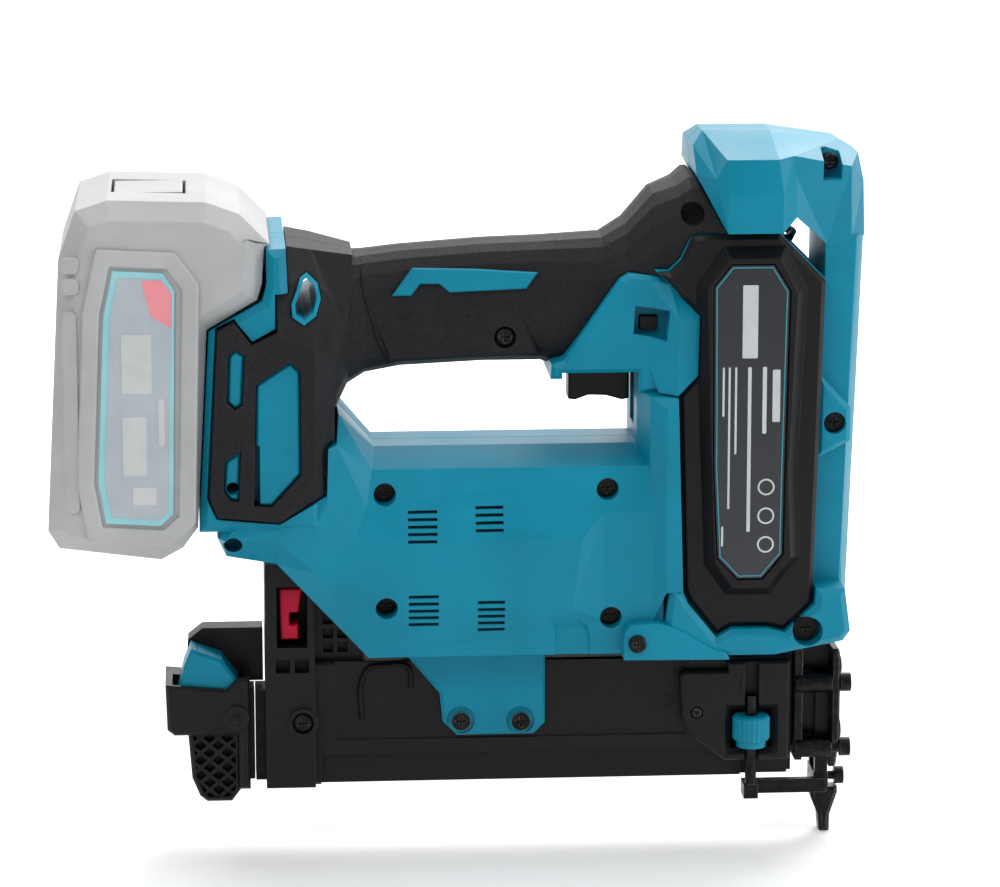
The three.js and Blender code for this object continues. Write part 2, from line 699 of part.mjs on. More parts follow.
function cornerPocket() {
  const x = openFront - 32.4;
  const z = bodyBottom + 17.4;
  return loft('y', [
    { at: -BODY_HALF - 1.5, outline: [[x, z + 0.5], [x + 9.5, z + 0.5], [x + 17, z - 3.5], [x + 21, z - 17], [x, z - 17]] },
    { at: -BODY_HALF + 5.5, outline: [[x + 5, z - 8], [x + 14, z - 8], [x + 15, z - 9], [x + 16, z - 18], [x + 5, z - 18]] },
  ]);
}

function housingHalf() {
  const lockRecess = plate([
    [openFront - 1.5, gripUnder + 13], [openFront + 9.5, gripUnder + 11],
    [openFront + 10.5, gripUnder + 21.5], [openFront - 1, gripUnder + 22.5],
  ], -40, -17);
  const lockHole = box([openFront + 0.9, openFront + 7.1], [-40, 1], [gripUnder + 13.3, gripUnder + 18.3]);
  const panelPocket = plate(inset(panelOutline, -GAP), -50, -REAR_HALF + PANEL_DEPTH);
  const coverPocket = plate(coverOutline, -60, -TOWER_HALF + 8);
  const tipPocket = box([magRear - 2, magRear + 19], [-MAGAZINE_HALF - 4, 1], [0, holderTop + GAP]);
  const webPocket = box([magRear, magRear + 35], [-8.5, 1], [0, bodyBottom + 20]);
  const shape = join(motorBlock(), rearFrame(), triggerSurround(), towerBase(), towerWall(), frontArm(), cap(),
    magazineFlapLink(), magazineFlap());
  const shell = cut(shape, ...bays(), lockRecess, lockHole, panelPocket, coverPocket, tipPocket, webPocket,
    ...ventSlots(), cornerPocket());
  const pads = panelWindows.map((outline) => plate(
    inset(outline, GAP), -REAR_HALF + 0.4, -REAR_HALF + PANEL_DEPTH + 0.5, 0.8,
  ));
  const padSlot = box([openRear - 29, openRear - 26.4], [-60, -REAR_HALF + PANEL_DEPTH], [bodyTop - 20, bodyTop + 6]);
  return cut(join(shell, cut(join(...pads), padSlot)), ...screwHoles());
}

// The flap hangs from the motor bay's lower edge by a short web.
function magazineFlapLink() {
  return box([flapLeft - 6, flapRight - 1], [-24, -MAGAZINE_HALF - GAP], [bodyBottom - 1, bodyBottom + 3]);
}

// Pan-head screw on the right-hand side: head from `seat` outwards, shank inwards.
function screw([x, z], seat, shankEnd, head = SCREW_HEAD) {
  const body = join(
    rod('y', head, seat - 2.2, seat, [x, z], 24, head - 0.5),
    rod('y', SCREW_SHANK, seat - 0.5, shankEnd, [x, z], 16),
  );
  const cross = [[2, 0.45], [0.45, 2]].map(([a, b]) => box([x - a, x + a], [seat - 3, seat - 1], [z - b, z + b]));
  return cut(body, ...cross);
}

addPair('housing', housingHalf(), TEAL);
SCREWS.forEach((place, i) => {
  addPiece(`housing_screw_${i + 1}`, screw(place, -SCREW_FLOOR - GAP, -SCREW_FLOOR - GAP / 2), BLACK_OXIDE);
});
addPiece('base_screw', screw(BASE_SCREW, -SCREW_FLOOR - 2 - GAP, -SCREW_FLOOR - 2 - GAP / 2, 4.2), BLACK_OXIDE);
addPiece('arm_screw', screw(ARM_SCREW, -ARM_HALF - GAP, -ARM_HALF - GAP / 2), BLACK_OXIDE);
FLAP_SCREWS.forEach((place, i) => {
  addPiece(`flap_screw_${i + 1}`, screw(place, -flapOuter + 0.7 - GAP, -MAGAZINE_HALF + 0.6), BLACK_OXIDE);
});

// ---------------------------------------------------------------- grip

// Half section of the grip: a rounded oblong that closes on the centre plane, in Y and Z.
function gripSection(low, high, half, squareness) {
  const middle = (low + high) / 2;
  const rise = (high - low) / 2;
  const outline = [];
  const steps = 10;
  for (let i = 0; i <= steps; i += 1) {
    const angle = -Math.PI / 2 + Math.PI * i / steps;
    const across = Math.sign(Math.cos(angle)) * Math.abs(Math.cos(angle)) ** squareness;
    const along = Math.sign(Math.sin(angle)) * Math.abs(Math.sin(angle)) ** squareness;
    outline.push([-HALF_GAP - (half - HALF_GAP) * Math.max(0, across), middle + rise * along]);
  }
  return outline;
}

function gripTube() {
  const stations = [
    [openRear - 18, gripUnder - 26, gripTop + 1, 31, 0.5],
    [openRear - 8, gripUnder - 24, gripTop, 27, 0.55],
    [openRear, gripUnder - 14, gripTop - 1.5, 23, 0.6],
    [openRear + 4, gripUnder - 6, gripTop - 2.5, 20, 0.62],
    [openRear + 10, gripUnder - 2.5, gripTop - 2, GRIP_HALF + 0.5, 0.65],
    [openRear + 22, gripUnder - 0.5, gripTop - 0.5, GRIP_HALF, 0.7],
    [openRear + 50, gripUnder + 0.8, gripTop + 1.5, GRIP_HALF, 0.7],
    [openFront - 32, gripUnder + 0.8, gripTop + 2.2, GRIP_HALF, 0.7],
    [openFront - 11, gripUnder - 6, gripTop + 3.5, 18.5, 0.7],
    [openFront - 3, gripUnder - 6, gripTop + 8.5, 20.5, 0.7],
    [openFront + 6, gripUnder - 6, gripTop + 19, 23.5, 0.7],
    [openFront + 14, gripUnder - 6, gripTop + 22, 26, 0.62],
    [towerRear + 6, gripUnder - 6, gripTop + 25, 27.5, 0.55],
    [towerRear + 17, gripUnder - 6, gripTop + 25, 28, 0.5],
  ];
  return loft('x', stations.map(([at, low, high, half, squareness]) => ({
    at, outline: gripSection(low, high, half, squareness),
  })));
}

// Rear of the grip: a flat panel with a facet down its front edge, falling away to the top of the grip.
function rearPanel(proud = 0) {
  const face = REAR_HALF + 0.8;
  const points = {
    footLeft: [openRear - 43.3, bodyTop - 12, face],
    topLeft: [openRear - 40, bodyTop + 45, face],
    peak: [openRear - 34.5, bodyTop + 48, face],
    notch: [openRear - 28.7, bodyTop + 40.4, face],
    step: [openRear - 20, bodyTop + 44.5, face],
    stepHigh: [openRear - 20, bodyTop + 61, face - 6],
    ridgeHigh: [openRear - 5, bodyTop + 58, face - 10],
    ridge: [openRear - 7.5, bodyTop + 38, face],
    ridgeLow: [openRear - 8, bodyTop - 6, face],
    footRight: [openRear - 20, bodyTop - 20.3, face],
    footMid: [openRear - 40.5, bodyTop - 18.3, face],
    top: [openRear - 19.5, gripTop + 3.5, 22],
    topMid: [openRear - 8, gripTop + 1.5, 20],
    topRight: [openRear + 6, gripTop - 1.5, 14],
    sideHigh: [openRear + 4, bodyTop + 46, 23],
    side: [openRear - 0.5, bodyTop + 32, 30],
    sideLow: [openRear - 1, bodyTop + 19, 31],
    hip: [openRear - 1.1, bodyTop + 7.2, 32],
    heel: [openRear - 4, bodyTop + 5, 33.5],
    heelLow: [openRear - 4.5, bodyTop - 11.7, 34.5],
  };
  for (const point of Object.values(points)) point[2] += proud;
  return relief(points, [
    ['footLeft', 'topLeft', 'peak', 'notch', 'step', 'ridge', 'ridgeLow', 'footRight', 'footMid'],
    ['step', 'stepHigh', 'ridgeHigh', 'ridge'],
    ['stepHigh', 'top', 'topMid', 'ridgeHigh'],
    ['ridgeHigh', 'topMid', 'topRight', 'sideHigh'],
    ['ridge', 'ridgeHigh', 'sideHigh', 'side'],
    ['ridge', 'side', 'sideLow', 'hip', 'heel', 'ridgeLow'],
    ['ridgeLow', 'heel', 'heelLow'],
    ['ridgeLow', 'heelLow', 'footRight'],
  ]);
}

// Flat facet low on the grip's side, with a screw.
function gripFacet() {
  return plate([
    [openRear + 12, gripUnder + 18], [openRear + 23.5, gripUnder + 17.8], [openRear + 26.5, gripUnder + 22.3],
    [openFront - 40.2, gripUnder + 23.2], [openFront - 33, gripUnder + 5], [openRear + 18.3, gripUnder + 3.6],
  ], -GRIP_HALF - 0.5, -GRIP_HALF + 6, 0.9);
}
const GRIP_SCREW = [openFront - 44.6, gripUnder + 11.2];

function gripHalf() {
  const windows = panelWindows.map((outline) => plate(outline, -60, -1));
  const wires = box([openRear - 12, openFront + 2], [-9, 1], [gripUnder + 8, gripTop - 9]);
  const pocket = plate(inset(panelOutline, GAP / 2), -50, -REAR_HALF + PANEL_DEPTH - GAP);
  const frame = cut(rearFrame(GAP), pocket);
  const hollow = box([rearFace, openRear - 6], [-REAR_HALF + PANEL_DEPTH - GAP, 1], [bodyTop - 30, bodyTop + 38]);
  const springBay = rod('z', PLUNGER_RADIUS + 3, gripUnder - 10, capTop, [towerAxis, 0], 32);
  const coverEdge = plate(inset(coverOutline, -GAP), -60, 1);
  const surround = plate(inset(triggerOutline, -GAP), -60, 1);
  const strapHole = plate(inset(eyelet, -GAP), -60, 1);
  const screwRecess = rod('y', SCREW_HOLE, -40, -GRIP_HALF + 2.5, GRIP_SCREW, 20);
  const seamHole = rod('y', 4, -60, -18, [towerRear + 6.3, gripTop + 12.9], 16);
  const capEdge = plate([
    [towerRear + 6.6, gripTop + 26.2], [towerRear + 6.6, capTop + 5], [10, capTop + 5], [10, gripTop],
    [towerRear + 17, gripTop + 7.4],
  ], -60, 1);
  const body = plate([
    [rearFace - 5, bodyTop - 60], [openRear - 5.5, bodyTop - 60], [openRear + 12, bodyTop - 20],
    [openRear + 12.5, bodyTop], [openRear + 0.5, bodyTop + 13.4], [openRear - 0.5, bodyTop + 7.1],
    [openRear - 3.4, bodyTop + 4.9], [openRear - 3.9, bodyTop - 12],
    [openRear - 19.8, bodyTop - 21.3], [openRear - 41, bodyTop - 19.3], [rearFace - 5, bodyTop - 19.3],
  ], -60, 1);
  const corner = box([openRear - 9, openRear + 1], [-REAR_HALF + PANEL_DEPTH - GAP, 1],
    [bodyTop - 30, bodyTop + 4 + GAP]);
  const bulk = join(gripTube(), rearPanel(), gripFacet());
  return keepLargest(cut(bulk, frame, hollow, corner, body, ...windows, wires, springBay, coverEdge, surround, capEdge,
    strapHole, screwRecess, seamHole));
}

// Tube through the grip that a hand strap is tied to: it stands just proud of both sides.
function strapEyelet() {
  const side = rearPanel(0.7);
  const middle = box([openRear - 20, openRear], [-1, 1], [bodyTop + 40, bodyTop + 66]);
  const tube = plate(eyelet, -60, 60).intersect(join(side, mirrored(side), middle));
  return cut(tube, plate(inset(eyelet, EYELET_WALL), -70, 70));
}

addPair('grip', gripHalf(), GRIP_RUBBER);
addPiece('strap_eyelet', strapEyelet(), TEAL);

// ---------------------------------------------------------------- trim on the grip and tower

function gripInlay() {
  const outline = [
    [openRear + 19, gripTop - 15], [openRear + 26, gripTop - 5.5], [openRear + 46.5, gripTop - 6],
    [openFront - 33.5, gripTop - 7.5], [openFront - 37.5, gripTop - 13], [openRear + 38.5, gripTop - 14],
    [openRear + 35, gripTop - 11], [openRear + 28.5, gripTop - 11], [openRear + 25.5, gripTop - 15],
  ];
  return plate(outline, -GRIP_HALF - 1.4, -GRIP_HALF - GAP, 0.5);
}

const ridgeOutline = [
  [towerRear + 10.5, gripTop - 11.5], [towerRear + 18, gripTop - 1], [towerAxis + 4.5, gripTop - 1],
  [towerAxis + 10.5, gripTop - 13], [-18.5, magTop + 70.5], [-17.5, magTop + 40], [-25.5, magTop + 29.5],
  [-37, magTop + 29.5], [towerRear + 14, magTop + 38], [towerRear + 12.5, magTop + 71],
];

const plateOutline = [
  [towerRear + 12.5, gripTop - 10.5], [towerRear + 18.5, gripTop - 3], [towerAxis + 2.5, gripTop - 3],
  [towerAxis + 8, gripTop - 12], [-19.7, magTop + 70], [-20, magTop + 41], [-27, magTop + 32.5],
  [-35.5, magTop + 32.5], [towerRear + 14.5, magTop + 40], [towerRear + 13, magTop + 71],
];
const PLATE_THICKNESS = 0.8;

function towerCover() {
  const fit = inset(coverOutline, GAP);
  const skin = plate(fit, -TOWER_HALF + 4.5, -TOWER_HALF + 8 - GAP, 1.5);
  const ridge = loft('y', [
    { at: -TOWER_HALF + 5, outline: inset(ridgeOutline, -4) },
    { at: -TOWER_HALF - 0.6, outline: ridgeOutline },
  ]);
  const seat = plate(inset(plateOutline, -GAP), -TOWER_HALF - 3, -TOWER_HALF + 1);
  const band = box([-80, 10], [-60, -TOWER_HALF + 7.7], [0, 400]);
  return cut(join(skin, ridge), seat).intersect(band).intersect(plate(fit, -60, 0));
}

function ratingPlate() {
  return plate(plateOutline, -TOWER_HALF + 1 - GAP - PLATE_THICKNESS, -TOWER_HALF + 1 - GAP, 0.3);
}

addPair('grip_inlay', gripInlay(), TEAL);
addPair('tower_cover', towerCover(), BLACK_NYLON);
addPair('rating_plate', ratingPlate(), PLATE);

// ---------------------------------------------------------------- drive train

function statorRing() {
  const body = rod('x', MOTOR_RADIUS, motorStart, motorEnd, [0, motorAxis], 32);
  const bore = rod('x', 13.5, motorStart - 1, motorEnd + 1, [0, motorAxis], 32);
  const flats = [-1, 1].map((side) => box(
    [motorStart + 6, motorEnd - 6], [side * (MOTOR_RADIUS - 1.5) - 1.5, side * (MOTOR_RADIUS - 1.5) + 1.5],
    [motorAxis - 5, motorAxis + 5],
  ));
  return cut(body, bore, ...flats);
}

function rotor() {
  const core = rod('x', 13, motorStart + 2, motorEnd - 2, [0, motorAxis], 32);
  const shaft = rod('x', 2.5, motorStart - 6, gearboxStart - 0.5, [0, motorAxis], 16);
  const hub = rod('x', 7, motorEnd + 1, motorEnd + 8, [0, motorAxis], 20);
  const blades = [];
  for (let i = 0; i < 9; i += 1) {
    const angle = 2 * Math.PI * i / 9;
    const geometry = new THREE.BoxGeometry(6, 13, 1);
    geometry.translate(motorEnd + 4.5, 12.5, 0);
    geometry.rotateX(angle);
    geometry.translate(0, 0, motorAxis);
    blades.push(solid(geometry));
  }
  return join(core, shaft, hub, ...blades);
}

function gearboxCase() {
  const axis = [0, motorAxis];
  const body = rod('x', GEARBOX_RADIUS, gearboxStart, gearboxEnd, axis, 32);
  const hollow = rod('x', GEARBOX_RADIUS - 2.5, gearboxStart + 3, gearboxEnd - 3, axis, 32);
  const bore = rod('x', SHAFT_RADIUS + GAP, gearboxStart + 4, gearboxEnd + 1, axis, 24);
  const inlet = rod('x', 6, gearboxStart - 1, gearboxStart + 4, axis, 24);
  return cut(body, hollow, bore, inlet);
}

const bevelReach = 7; // pitch radius of both bevel gears

function outputShaft() {
  const axis = [0, motorAxis];
  const carrier = rod('x', GEARBOX_RADIUS - 6, gearboxEnd - 12, gearboxEnd - 6, axis, 24);
  const tip = lifterX - PIN_CIRCLE - 2.5 - 2 * GAP;
  const shaft = rod('x', SHAFT_RADIUS, gearboxEnd - 8, tip - 4, axis, 24);
  const bevel = rod('x', bevelReach + 3, tip - 5, tip, axis, 24, bevelReach - 1.5);
  return join(carrier, shaft, bevel);
}

function lifterWheel() {
  const axis = [lifterX, motorAxis];
  const disc = rod('y', PIN_CIRCLE + 2.5, 8, 10.5, axis, 24);
  const shaft = rod('y', 3, -15, 15, axis, 20);
  const web = rod('y', PIN_CIRCLE + 2.5, -7.5, -5.5, axis, 24);
  const pins = [];
  for (let i = 0; i < PIN_COUNT; i += 1) {
    const angle = 2 * Math.PI * i / PIN_COUNT;
    const x = lifterX + PIN_CIRCLE * Math.cos(angle);
    const z = motorAxis + PIN_CIRCLE * Math.sin(angle);
    pins.push(rod('y', PIN_RADIUS, -6, -1.2, [x, z], 12));
  }
  return join(shaft, web, disc, ...pins);
}

// Blade with notches on its rear edge that the lifter's pins pull on.
function driverBlade() {
  const pitch = 2 * Math.PI * PIN_CIRCLE / PIN_COUNT;
  const rack = box([bladeRack, BLADE_THICKNESS / 2], [-RACK_HALF, RACK_HALF], [motorAxis - 6, plungerBottom + 6]);
  const tip = box([-BLADE_THICKNESS / 2, BLADE_THICKNESS / 2], [-BLADE_WIDTH / 2, BLADE_WIDTH / 2],
    [bladeTip, motorAxis - 5]);
  const notches = [];
  for (let i = 0; i * pitch <= STROKE + pitch; i += 1) {
    const z = motorAxis + i * pitch;
    notches.push(box([bladeRack - 1, bladeRack + PIN_RADIUS + 0.4], [-6, 6],
      [z - PIN_RADIUS - 0.5, z + PIN_RADIUS + 0.5]));
  }
  return cut(join(rack, tip), ...notches);
}

function plunger() {
  const body = rod('z', PLUNGER_RADIUS, plungerBottom, plungerTop, [towerAxis, 0], 32);
  const arm = box([towerAxis + 8, bladeRack - GAP], [-6, 6], [plungerBottom + 1, plungerBottom + 9]);
  const bore = rod('z', 5 + GAP, plungerBottom - 1, plungerTop + 1, [towerAxis, 0], 24);
  return cut(join(body, arm), bore);
}

function springRod() {
  const guide = rod('z', 5, bumperTop - 7, springTop + 3, [towerAxis, 0], 24);
  const head = rod('z', PLUNGER_RADIUS, springTop, springTop + 2.5, [towerAxis, 0], 32);
  return join(guide, head);
}

function bumper() {
  const body = rod('z', PLUNGER_RADIUS, bumperTop - 7, bumperTop, [towerAxis, 0], 32);
  return cut(body, rod('z', 5 + GAP, bumperTop - 8, bumperTop + 1, [towerAxis, 0], 24));
}

function mainSpring() {
  const low = plungerTop + SPRING_WIRE / 2 + GAP;
  const high = springTop - SPRING_WIRE / 2 - GAP;
  const geometry = coil(PLUNGER_RADIUS - 4, SPRING_WIRE, 5.5, high - low);
  geometry.translate(towerAxis, 0, low);
  return solid(geometry);
}

addPiece('motor_stator', statorRing(), COPPER);
addPiece('motor_rotor', rotor(), STEEL);
addPiece('gearbox_case', gearboxCase(), STEEL);
addPiece('output_shaft', outputShaft(), STEEL);
addPiece('lifter_wheel', lifterWheel(), STEEL);
addPiece('driver_blade', driverBlade(), STEEL);
addPiece('plunger', plunger(), BLACK_OXIDE);
addPiece('spring_guide_rod', springRod(), STEEL);
addPiece('main_spring', mainSpring(), SPRING_STEEL);
addPiece('bumper', bumper(), GRIP_RUBBER);

// ---------------------------------------------------------------- trigger, switch and lock

const triggerFront = openFront - GAP - 0.7;
const triggerRear = openFront - 22;
const TRIGGER_HALF = 5.5;
const PIVOT_Z_ABOVE = 5;
const triggerPivot = [triggerFront - 4, gripUnder + PIVOT_Z_ABOVE];

function trigger() {
  const low = gripUnder - 13.5;
  const outline = [
    [triggerRear, low + 0.5], [triggerRear + 2.5, low + 0.2], [triggerRear + 7, low + 1.8],
    [triggerRear + 13, low + 1.6], [triggerFront - 2.5, low], [triggerFront, low + 0.5],
    [triggerFront, gripUnder + 9], [triggerFront - 8, gripUnder + 9], [triggerFront - 9, gripUnder + 1],
    [triggerRear + 1.5, gripUnder - 1.5], [triggerRear, gripUnder - 4],
  ];
  const blade = plate(outline, -TRIGGER_HALF, TRIGGER_HALF, 0.8, 0.8);
  return cut(blade, rod('y', 1.5 + GAP / 3, -8, 8, triggerPivot, 16));
}

function lockButton() {
  const x = [openFront + 1.2, openFront + 6.8];
  const z = [gripUnder + 13.6, gripUnder + 18];
  return box(x, [-19, 19], z);
}

function switchBody() {
  return box([triggerRear - 4, triggerRear + 11], [-6, 6], [gripUnder + 12, gripUnder + 22]);
}

function triggerSpring() {
  const geometry = coil(2.2, 0.7, 4, 7);
  geometry.translate(triggerRear + 8, 0, gripUnder + 4);
  return solid(geometry);
}

addPiece('trigger', trigger(), BLACK_NYLON);
addPiece('trigger_pin', rod('y', 1.5, -6.3, 6.3, triggerPivot, 16), STEEL);
addPiece('trigger_spring', triggerSpring(), SPRING_STEEL);
addPiece('trigger_lock', lockButton(), BLACK_NYLON);
addPiece('switch_body', switchBody(), BLACK_NYLON);

// ---------------------------------------------------------------- electronics

const boardX = rearFace + 9;
addPiece('control_board', box([boardX, boardX + 1.6], [-26, 26], [bodyTop - 18, bodyTop + 34]), BOARD_GREEN);

const lensX = [-13, -5.5];
addPiece('work_light_lens', box(lensX, [-8, 8], [magTop + 1.9, magTop + 4.2]), LENS_CLEAR);

// ---------------------------------------------------------------- magazine

const CHANNEL_HALF = 6;
const channelTop = magTop - 11;
const FEED_HALF = 1.6; // half width of the slot that the brads stand in

const MAGAZINE_SCREW = [magRear + 12.7, magBottom + 23.4];

function magazineFrame() {
  const block = plate([
    [magRear, magBottom], [magFront, magBottom], [magFront, magTop], [magRear, magTop],
  ], -MAGAZINE_HALF, MAGAZINE_HALF, 1, 1);
  const holder = box([magRear, magRear + 17], [-MAGAZINE_HALF - 3, MAGAZINE_HALF], [magBottom, holderTop]);
  const web = plate([
    [magRear + 15, magTop - 1], [magRear + 34, magTop - 1], [magRear + 34, magTop + 5],
    [magRear + 19, magTop + 21], [magRear + 15, magTop + 21],
  ], -8, 8);
  const holderRoom = box([magRear + 4, magRear + 14.5], [-30, 3], [magTop + 6, holderTop - 8]);
  const cavity = box([magRear - 5, magFront + 5], [-CHANNEL_HALF - GAP, CHANNEL_HALF + GAP],
    [magBottom - 5, channelTop + GAP]);
  const lowerStep = [-1, 1].map((side) => box(
    [magRear + 19, magFront + 5],
    [side * (MAGAZINE_HALF - 1) - 2, side * (MAGAZINE_HALF - 1) + 2],
    [magBottom - 5, magBottom + 11],
  ));
  const panel = [-1, 1].map((side) => box(
    [magRear + 24, magFront - 36],
    [side * (MAGAZINE_HALF + 1) - 1.9, side * (MAGAZINE_HALF + 1) + 1.9],
    [magBottom + 16, magTop + 5],
  ));
  const dialRoom = box([dialX - 8, dialX + 8], [-40, -CHANNEL_HALF - 1], [dialLow - 2, dialHigh + 2]);
  const slider = box([dialX - 3, magFront + 5], [-40, -leverIn + GAP], [magBottom - 5, magBottom + 6.5]);
  const pockets = [6, 12.5].map((x) => box(
    [magRear + x - 2.5, magRear + x + 2.5], [-40, -MAGAZINE_HALF + 2], [magTop - 3, magTop + 2],
  ));
  const grid = [0, 1, 2].flatMap((row) => [0, 1].map((column) => box(
    [magRear + 20 + column * 5, magRear + 23.5 + column * 5], [-40, -5],
    [magTop + 2.5 + row * 5, magTop + 6 + row * 5],
  )));
  const boss = rod('y', 5.2, -MAGAZINE_HALF - 4.5, -MAGAZINE_HALF, MAGAZINE_SCREW, 24);
  const bossHole = rod('y', SCREW_HOLE, -40, -MAGAZINE_HALF - 2, MAGAZINE_SCREW, 20);
  const shape = join(cut(join(block, holder, web), ...lowerStep, ...panel), boss);
  return cut(shape, holderRoom, cavity, dialRoom, slider, ...pockets, ...grid, bossHole);
}

function magazineChannel() {
  const start = magRear - 3.5;
  const end = magFront + 1.5;
  const body = box([start, end], [-CHANNEL_HALF, CHANNEL_HALF], [magBottom + 0.6, channelTop]);
  const feed = box([start + 6, end + 1], [-FEED_HALF, FEED_HALF], [magBottom + 3, channelTop - 9]);
  const springBore = box([start + 6, end + 1], [-3, 3], [channelTop - 9.5, channelTop - 3]);
  const slots = [-1, 1].map((side) => box(
    [start + 14, end - 12], [side * CHANNEL_HALF - 2.2, side * CHANNEL_HALF + 2.2],
    [magBottom + 8, magBottom + 14],
  ));
  return cut(body, feed, springBore, ...slots);
}

const pusherFront = magFront - 1;

function pusher() {
  const foot = box([pusherFront - 20, pusherFront], [-FEED_HALF + GAP, FEED_HALF - GAP],
    [magBottom + 3.5, channelTop - 6]);
  const head = box([pusherFront - 20, pusherFront - 2], [-2.6, 2.6], [channelTop - 8.8, channelTop - 3.5]);
  return join(foot, head);
}

function pusherSpring() {
  const start = magRear + 4;
  const length = pusherFront - 20.5 - start;
  const geometry = new THREE.ExtrudeGeometry(ring(0.4, 4), {
    steps: 112, extrudePath: new Helix(2, 14, length), bevelEnabled: false,
  });
  geometry.rotateY(Math.PI / 2);
  geometry.translate(start, 0, channelTop - 6.2);
  return solid(geometry);
}

function spareTip() {
  const outline = [
    [magRear + 5.5, magTop + 8], [magRear + 11.5, magTop + 8], [magRear + 11.5, magTop + 13],
    [magRear + 8.5, magTop + 13], [magRear + 8.5, magTop + 17.5], [magRear + 11.5, magTop + 17.5],
    [magRear + 13, magTop + 26], [magRear + 5, magTop + 26],
  ];
  return plate(outline, -MAGAZINE_HALF + 1, 2.5, 0.5, 0.5);
}

const capRear = magRear - 34.5;
const capFront = magRear - 5.5;
const cupTop = magBottom + 38;
const cupBottom = magBottom + 19;
const footBottom = magBottom - 5.5;
const CUP_HALF = 14;
const leverPin = [capFront - 4.5, magBottom + 25.5];

function endCap() {
  const cup = plate([
    [capRear, cupTop - 1], [capRear + 0.5, cupBottom + 2], [capRear + 3, cupBottom],
    [capFront - 3.8, cupBottom], [capFront - 3.8, magBottom - 0.5], [capFront, magBottom - 0.5],
    [capFront, cupTop + 1], [capFront - 4, cupTop + 1],
    [capFront - 8, cupTop - 3],
  ], -CUP_HALF, CUP_HALF, 1, 1);
  const room = box([capRear + 2.5, capFront - 1.6], [-CUP_HALF + 2.5, 3], [cupBottom + 3, cupTop + 5]);
  const hood = plate([
    [capRear + 7, cupTop - 4], [magRear - 0.6, cupTop - 4], [magRear - 0.6, cupTop + 15],
    [capRear + 13, cupTop + 15], [capRear + 8, cupTop + 11],
  ], 3, CUP_HALF, 0, 2);
  const neck = box([capFront - 2, magRear - 3.5 - GAP], [-CHANNEL_HALF, CHANNEL_HALF],
    [magBottom + 1, channelTop]);
  const hub = rod('y', 4.2, -CUP_HALF - 1.4, -CUP_HALF + 1, leverPin, 24);
  return cut(join(cup, hood, neck, hub), room, rod('y', 1.6 + GAP / 3, -30, CUP_HALF - 3, leverPin, 16));
}

// Rest foot under the cap: a bar lattice behind a rim.
function capFoot() {
  const top = cupBottom + 1;
  const right = capFront - 3.5;
  const outline = [
    [capRear + 7.5, top], [capRear + 8.8, footBottom + 8.5], [capRear + 11.5, footBottom + 2],
    [capRear + 14, footBottom], [right - 3, footBottom], [right, footBottom + 4], [right, top],
  ];
  const face = -CUP_HALF + 3;
  const body = plate(outline, face, CUP_HALF - 3, 0.8, 0.8);
  const hollow = plate(inset(outline, 1.6), face - 1, face + 4);
  const bars = [];
  for (const lean of [-1, 1]) {
    for (let i = -3; i <= 3; i += 1) {
      const geometry = new THREE.BoxGeometry(1.2, 3, 60);
      geometry.rotateY(lean * 0.86);
      geometry.translate(capRear + 18 + i * 6.2, face + 2.1, footBottom + 12);
      bars.push(solid(geometry));
    }
  }
  const lattice = join(...bars).intersect(plate(inset(outline, 1), face - 1, face + 5));
  return join(cut(body, hollow), lattice);
}

function latchLever() {
  const outline = [
    [capRear + 4.2, cupTop - 5], [capRear + 6.5, cupTop + 5], [capRear + 9, cupTop + 11],
    [capFront - 9.5, cupTop + 7], [capFront - 4, cupTop - 0.5], [capFront - 3, cupTop - 12],
    [capFront - 7, cupTop - 14], [capFront - 10, cupTop - 6],
  ];
  const body = plate(outline, -CUP_HALF + 3, 2, 1, 0);
  const grooves = [0, 1, 2, 3].map((i) => {
    const geometry = new THREE.BoxGeometry(1.2, 30, 2);
    geometry.rotateY(-0.35);
    geometry.translate(capRear + 11.5 + i * 3.1, 0, cupTop + 10.9 - i);
    return solid(geometry);
  });
  return keepLargest(cut(body, ...grooves, rod('y', 1.6 + GAP / 3, -30, 10, leverPin, 16)));
}

addPiece('magazine_frame', magazineFrame(), BLACK_NYLON);
addPiece('magazine_channel', magazineChannel(), STEEL);
addPiece('pusher', pusher(), BLACK_NYLON);
addPiece('pusher_spring', pusherSpring(), SPRING_STEEL);
addPiece('spare_nose_tip', spareTip(), RED_RUBBER);
addPiece('end_cap', join(endCap(), capFoot()), BLACK_NYLON);
addPiece('latch_lever', latchLever(), TEAL);
addPiece('latch_pin', rod('y', 1.6, -CUP_HALF - 1.8, CUP_HALF - 3.5, leverPin, 16), BLACK_OXIDE);

// ---------------------------------------------------------------- nose

const guideTop = magTop + 1.5;
const guideBottom = NOSE_LENGTH + 8;
const guideBack = magFront + 2;
const COVER_THICKNESS = 2.5;
const coverBack = BLADE_THICKNESS / 2 + GAP;
const coverFront = coverBack + COVER_THICKNESS;
const BOLT_SPREAD = 11.5;
const BOLT_RADIUS = 2;
const BOLT_HEAD = 3.3;
const BOLT_HEAD_HEIGHT = 3.6;
const boltRows = [NOSE_LENGTH + 10.2, NOSE_LENGTH + 33.5];
const ARM_TRAVEL = 7;
const coverBottom = guideBottom - 6.5;
const SLOT_HALF = 1.9; // the tip bolt's shank slides in the guide cover's slot

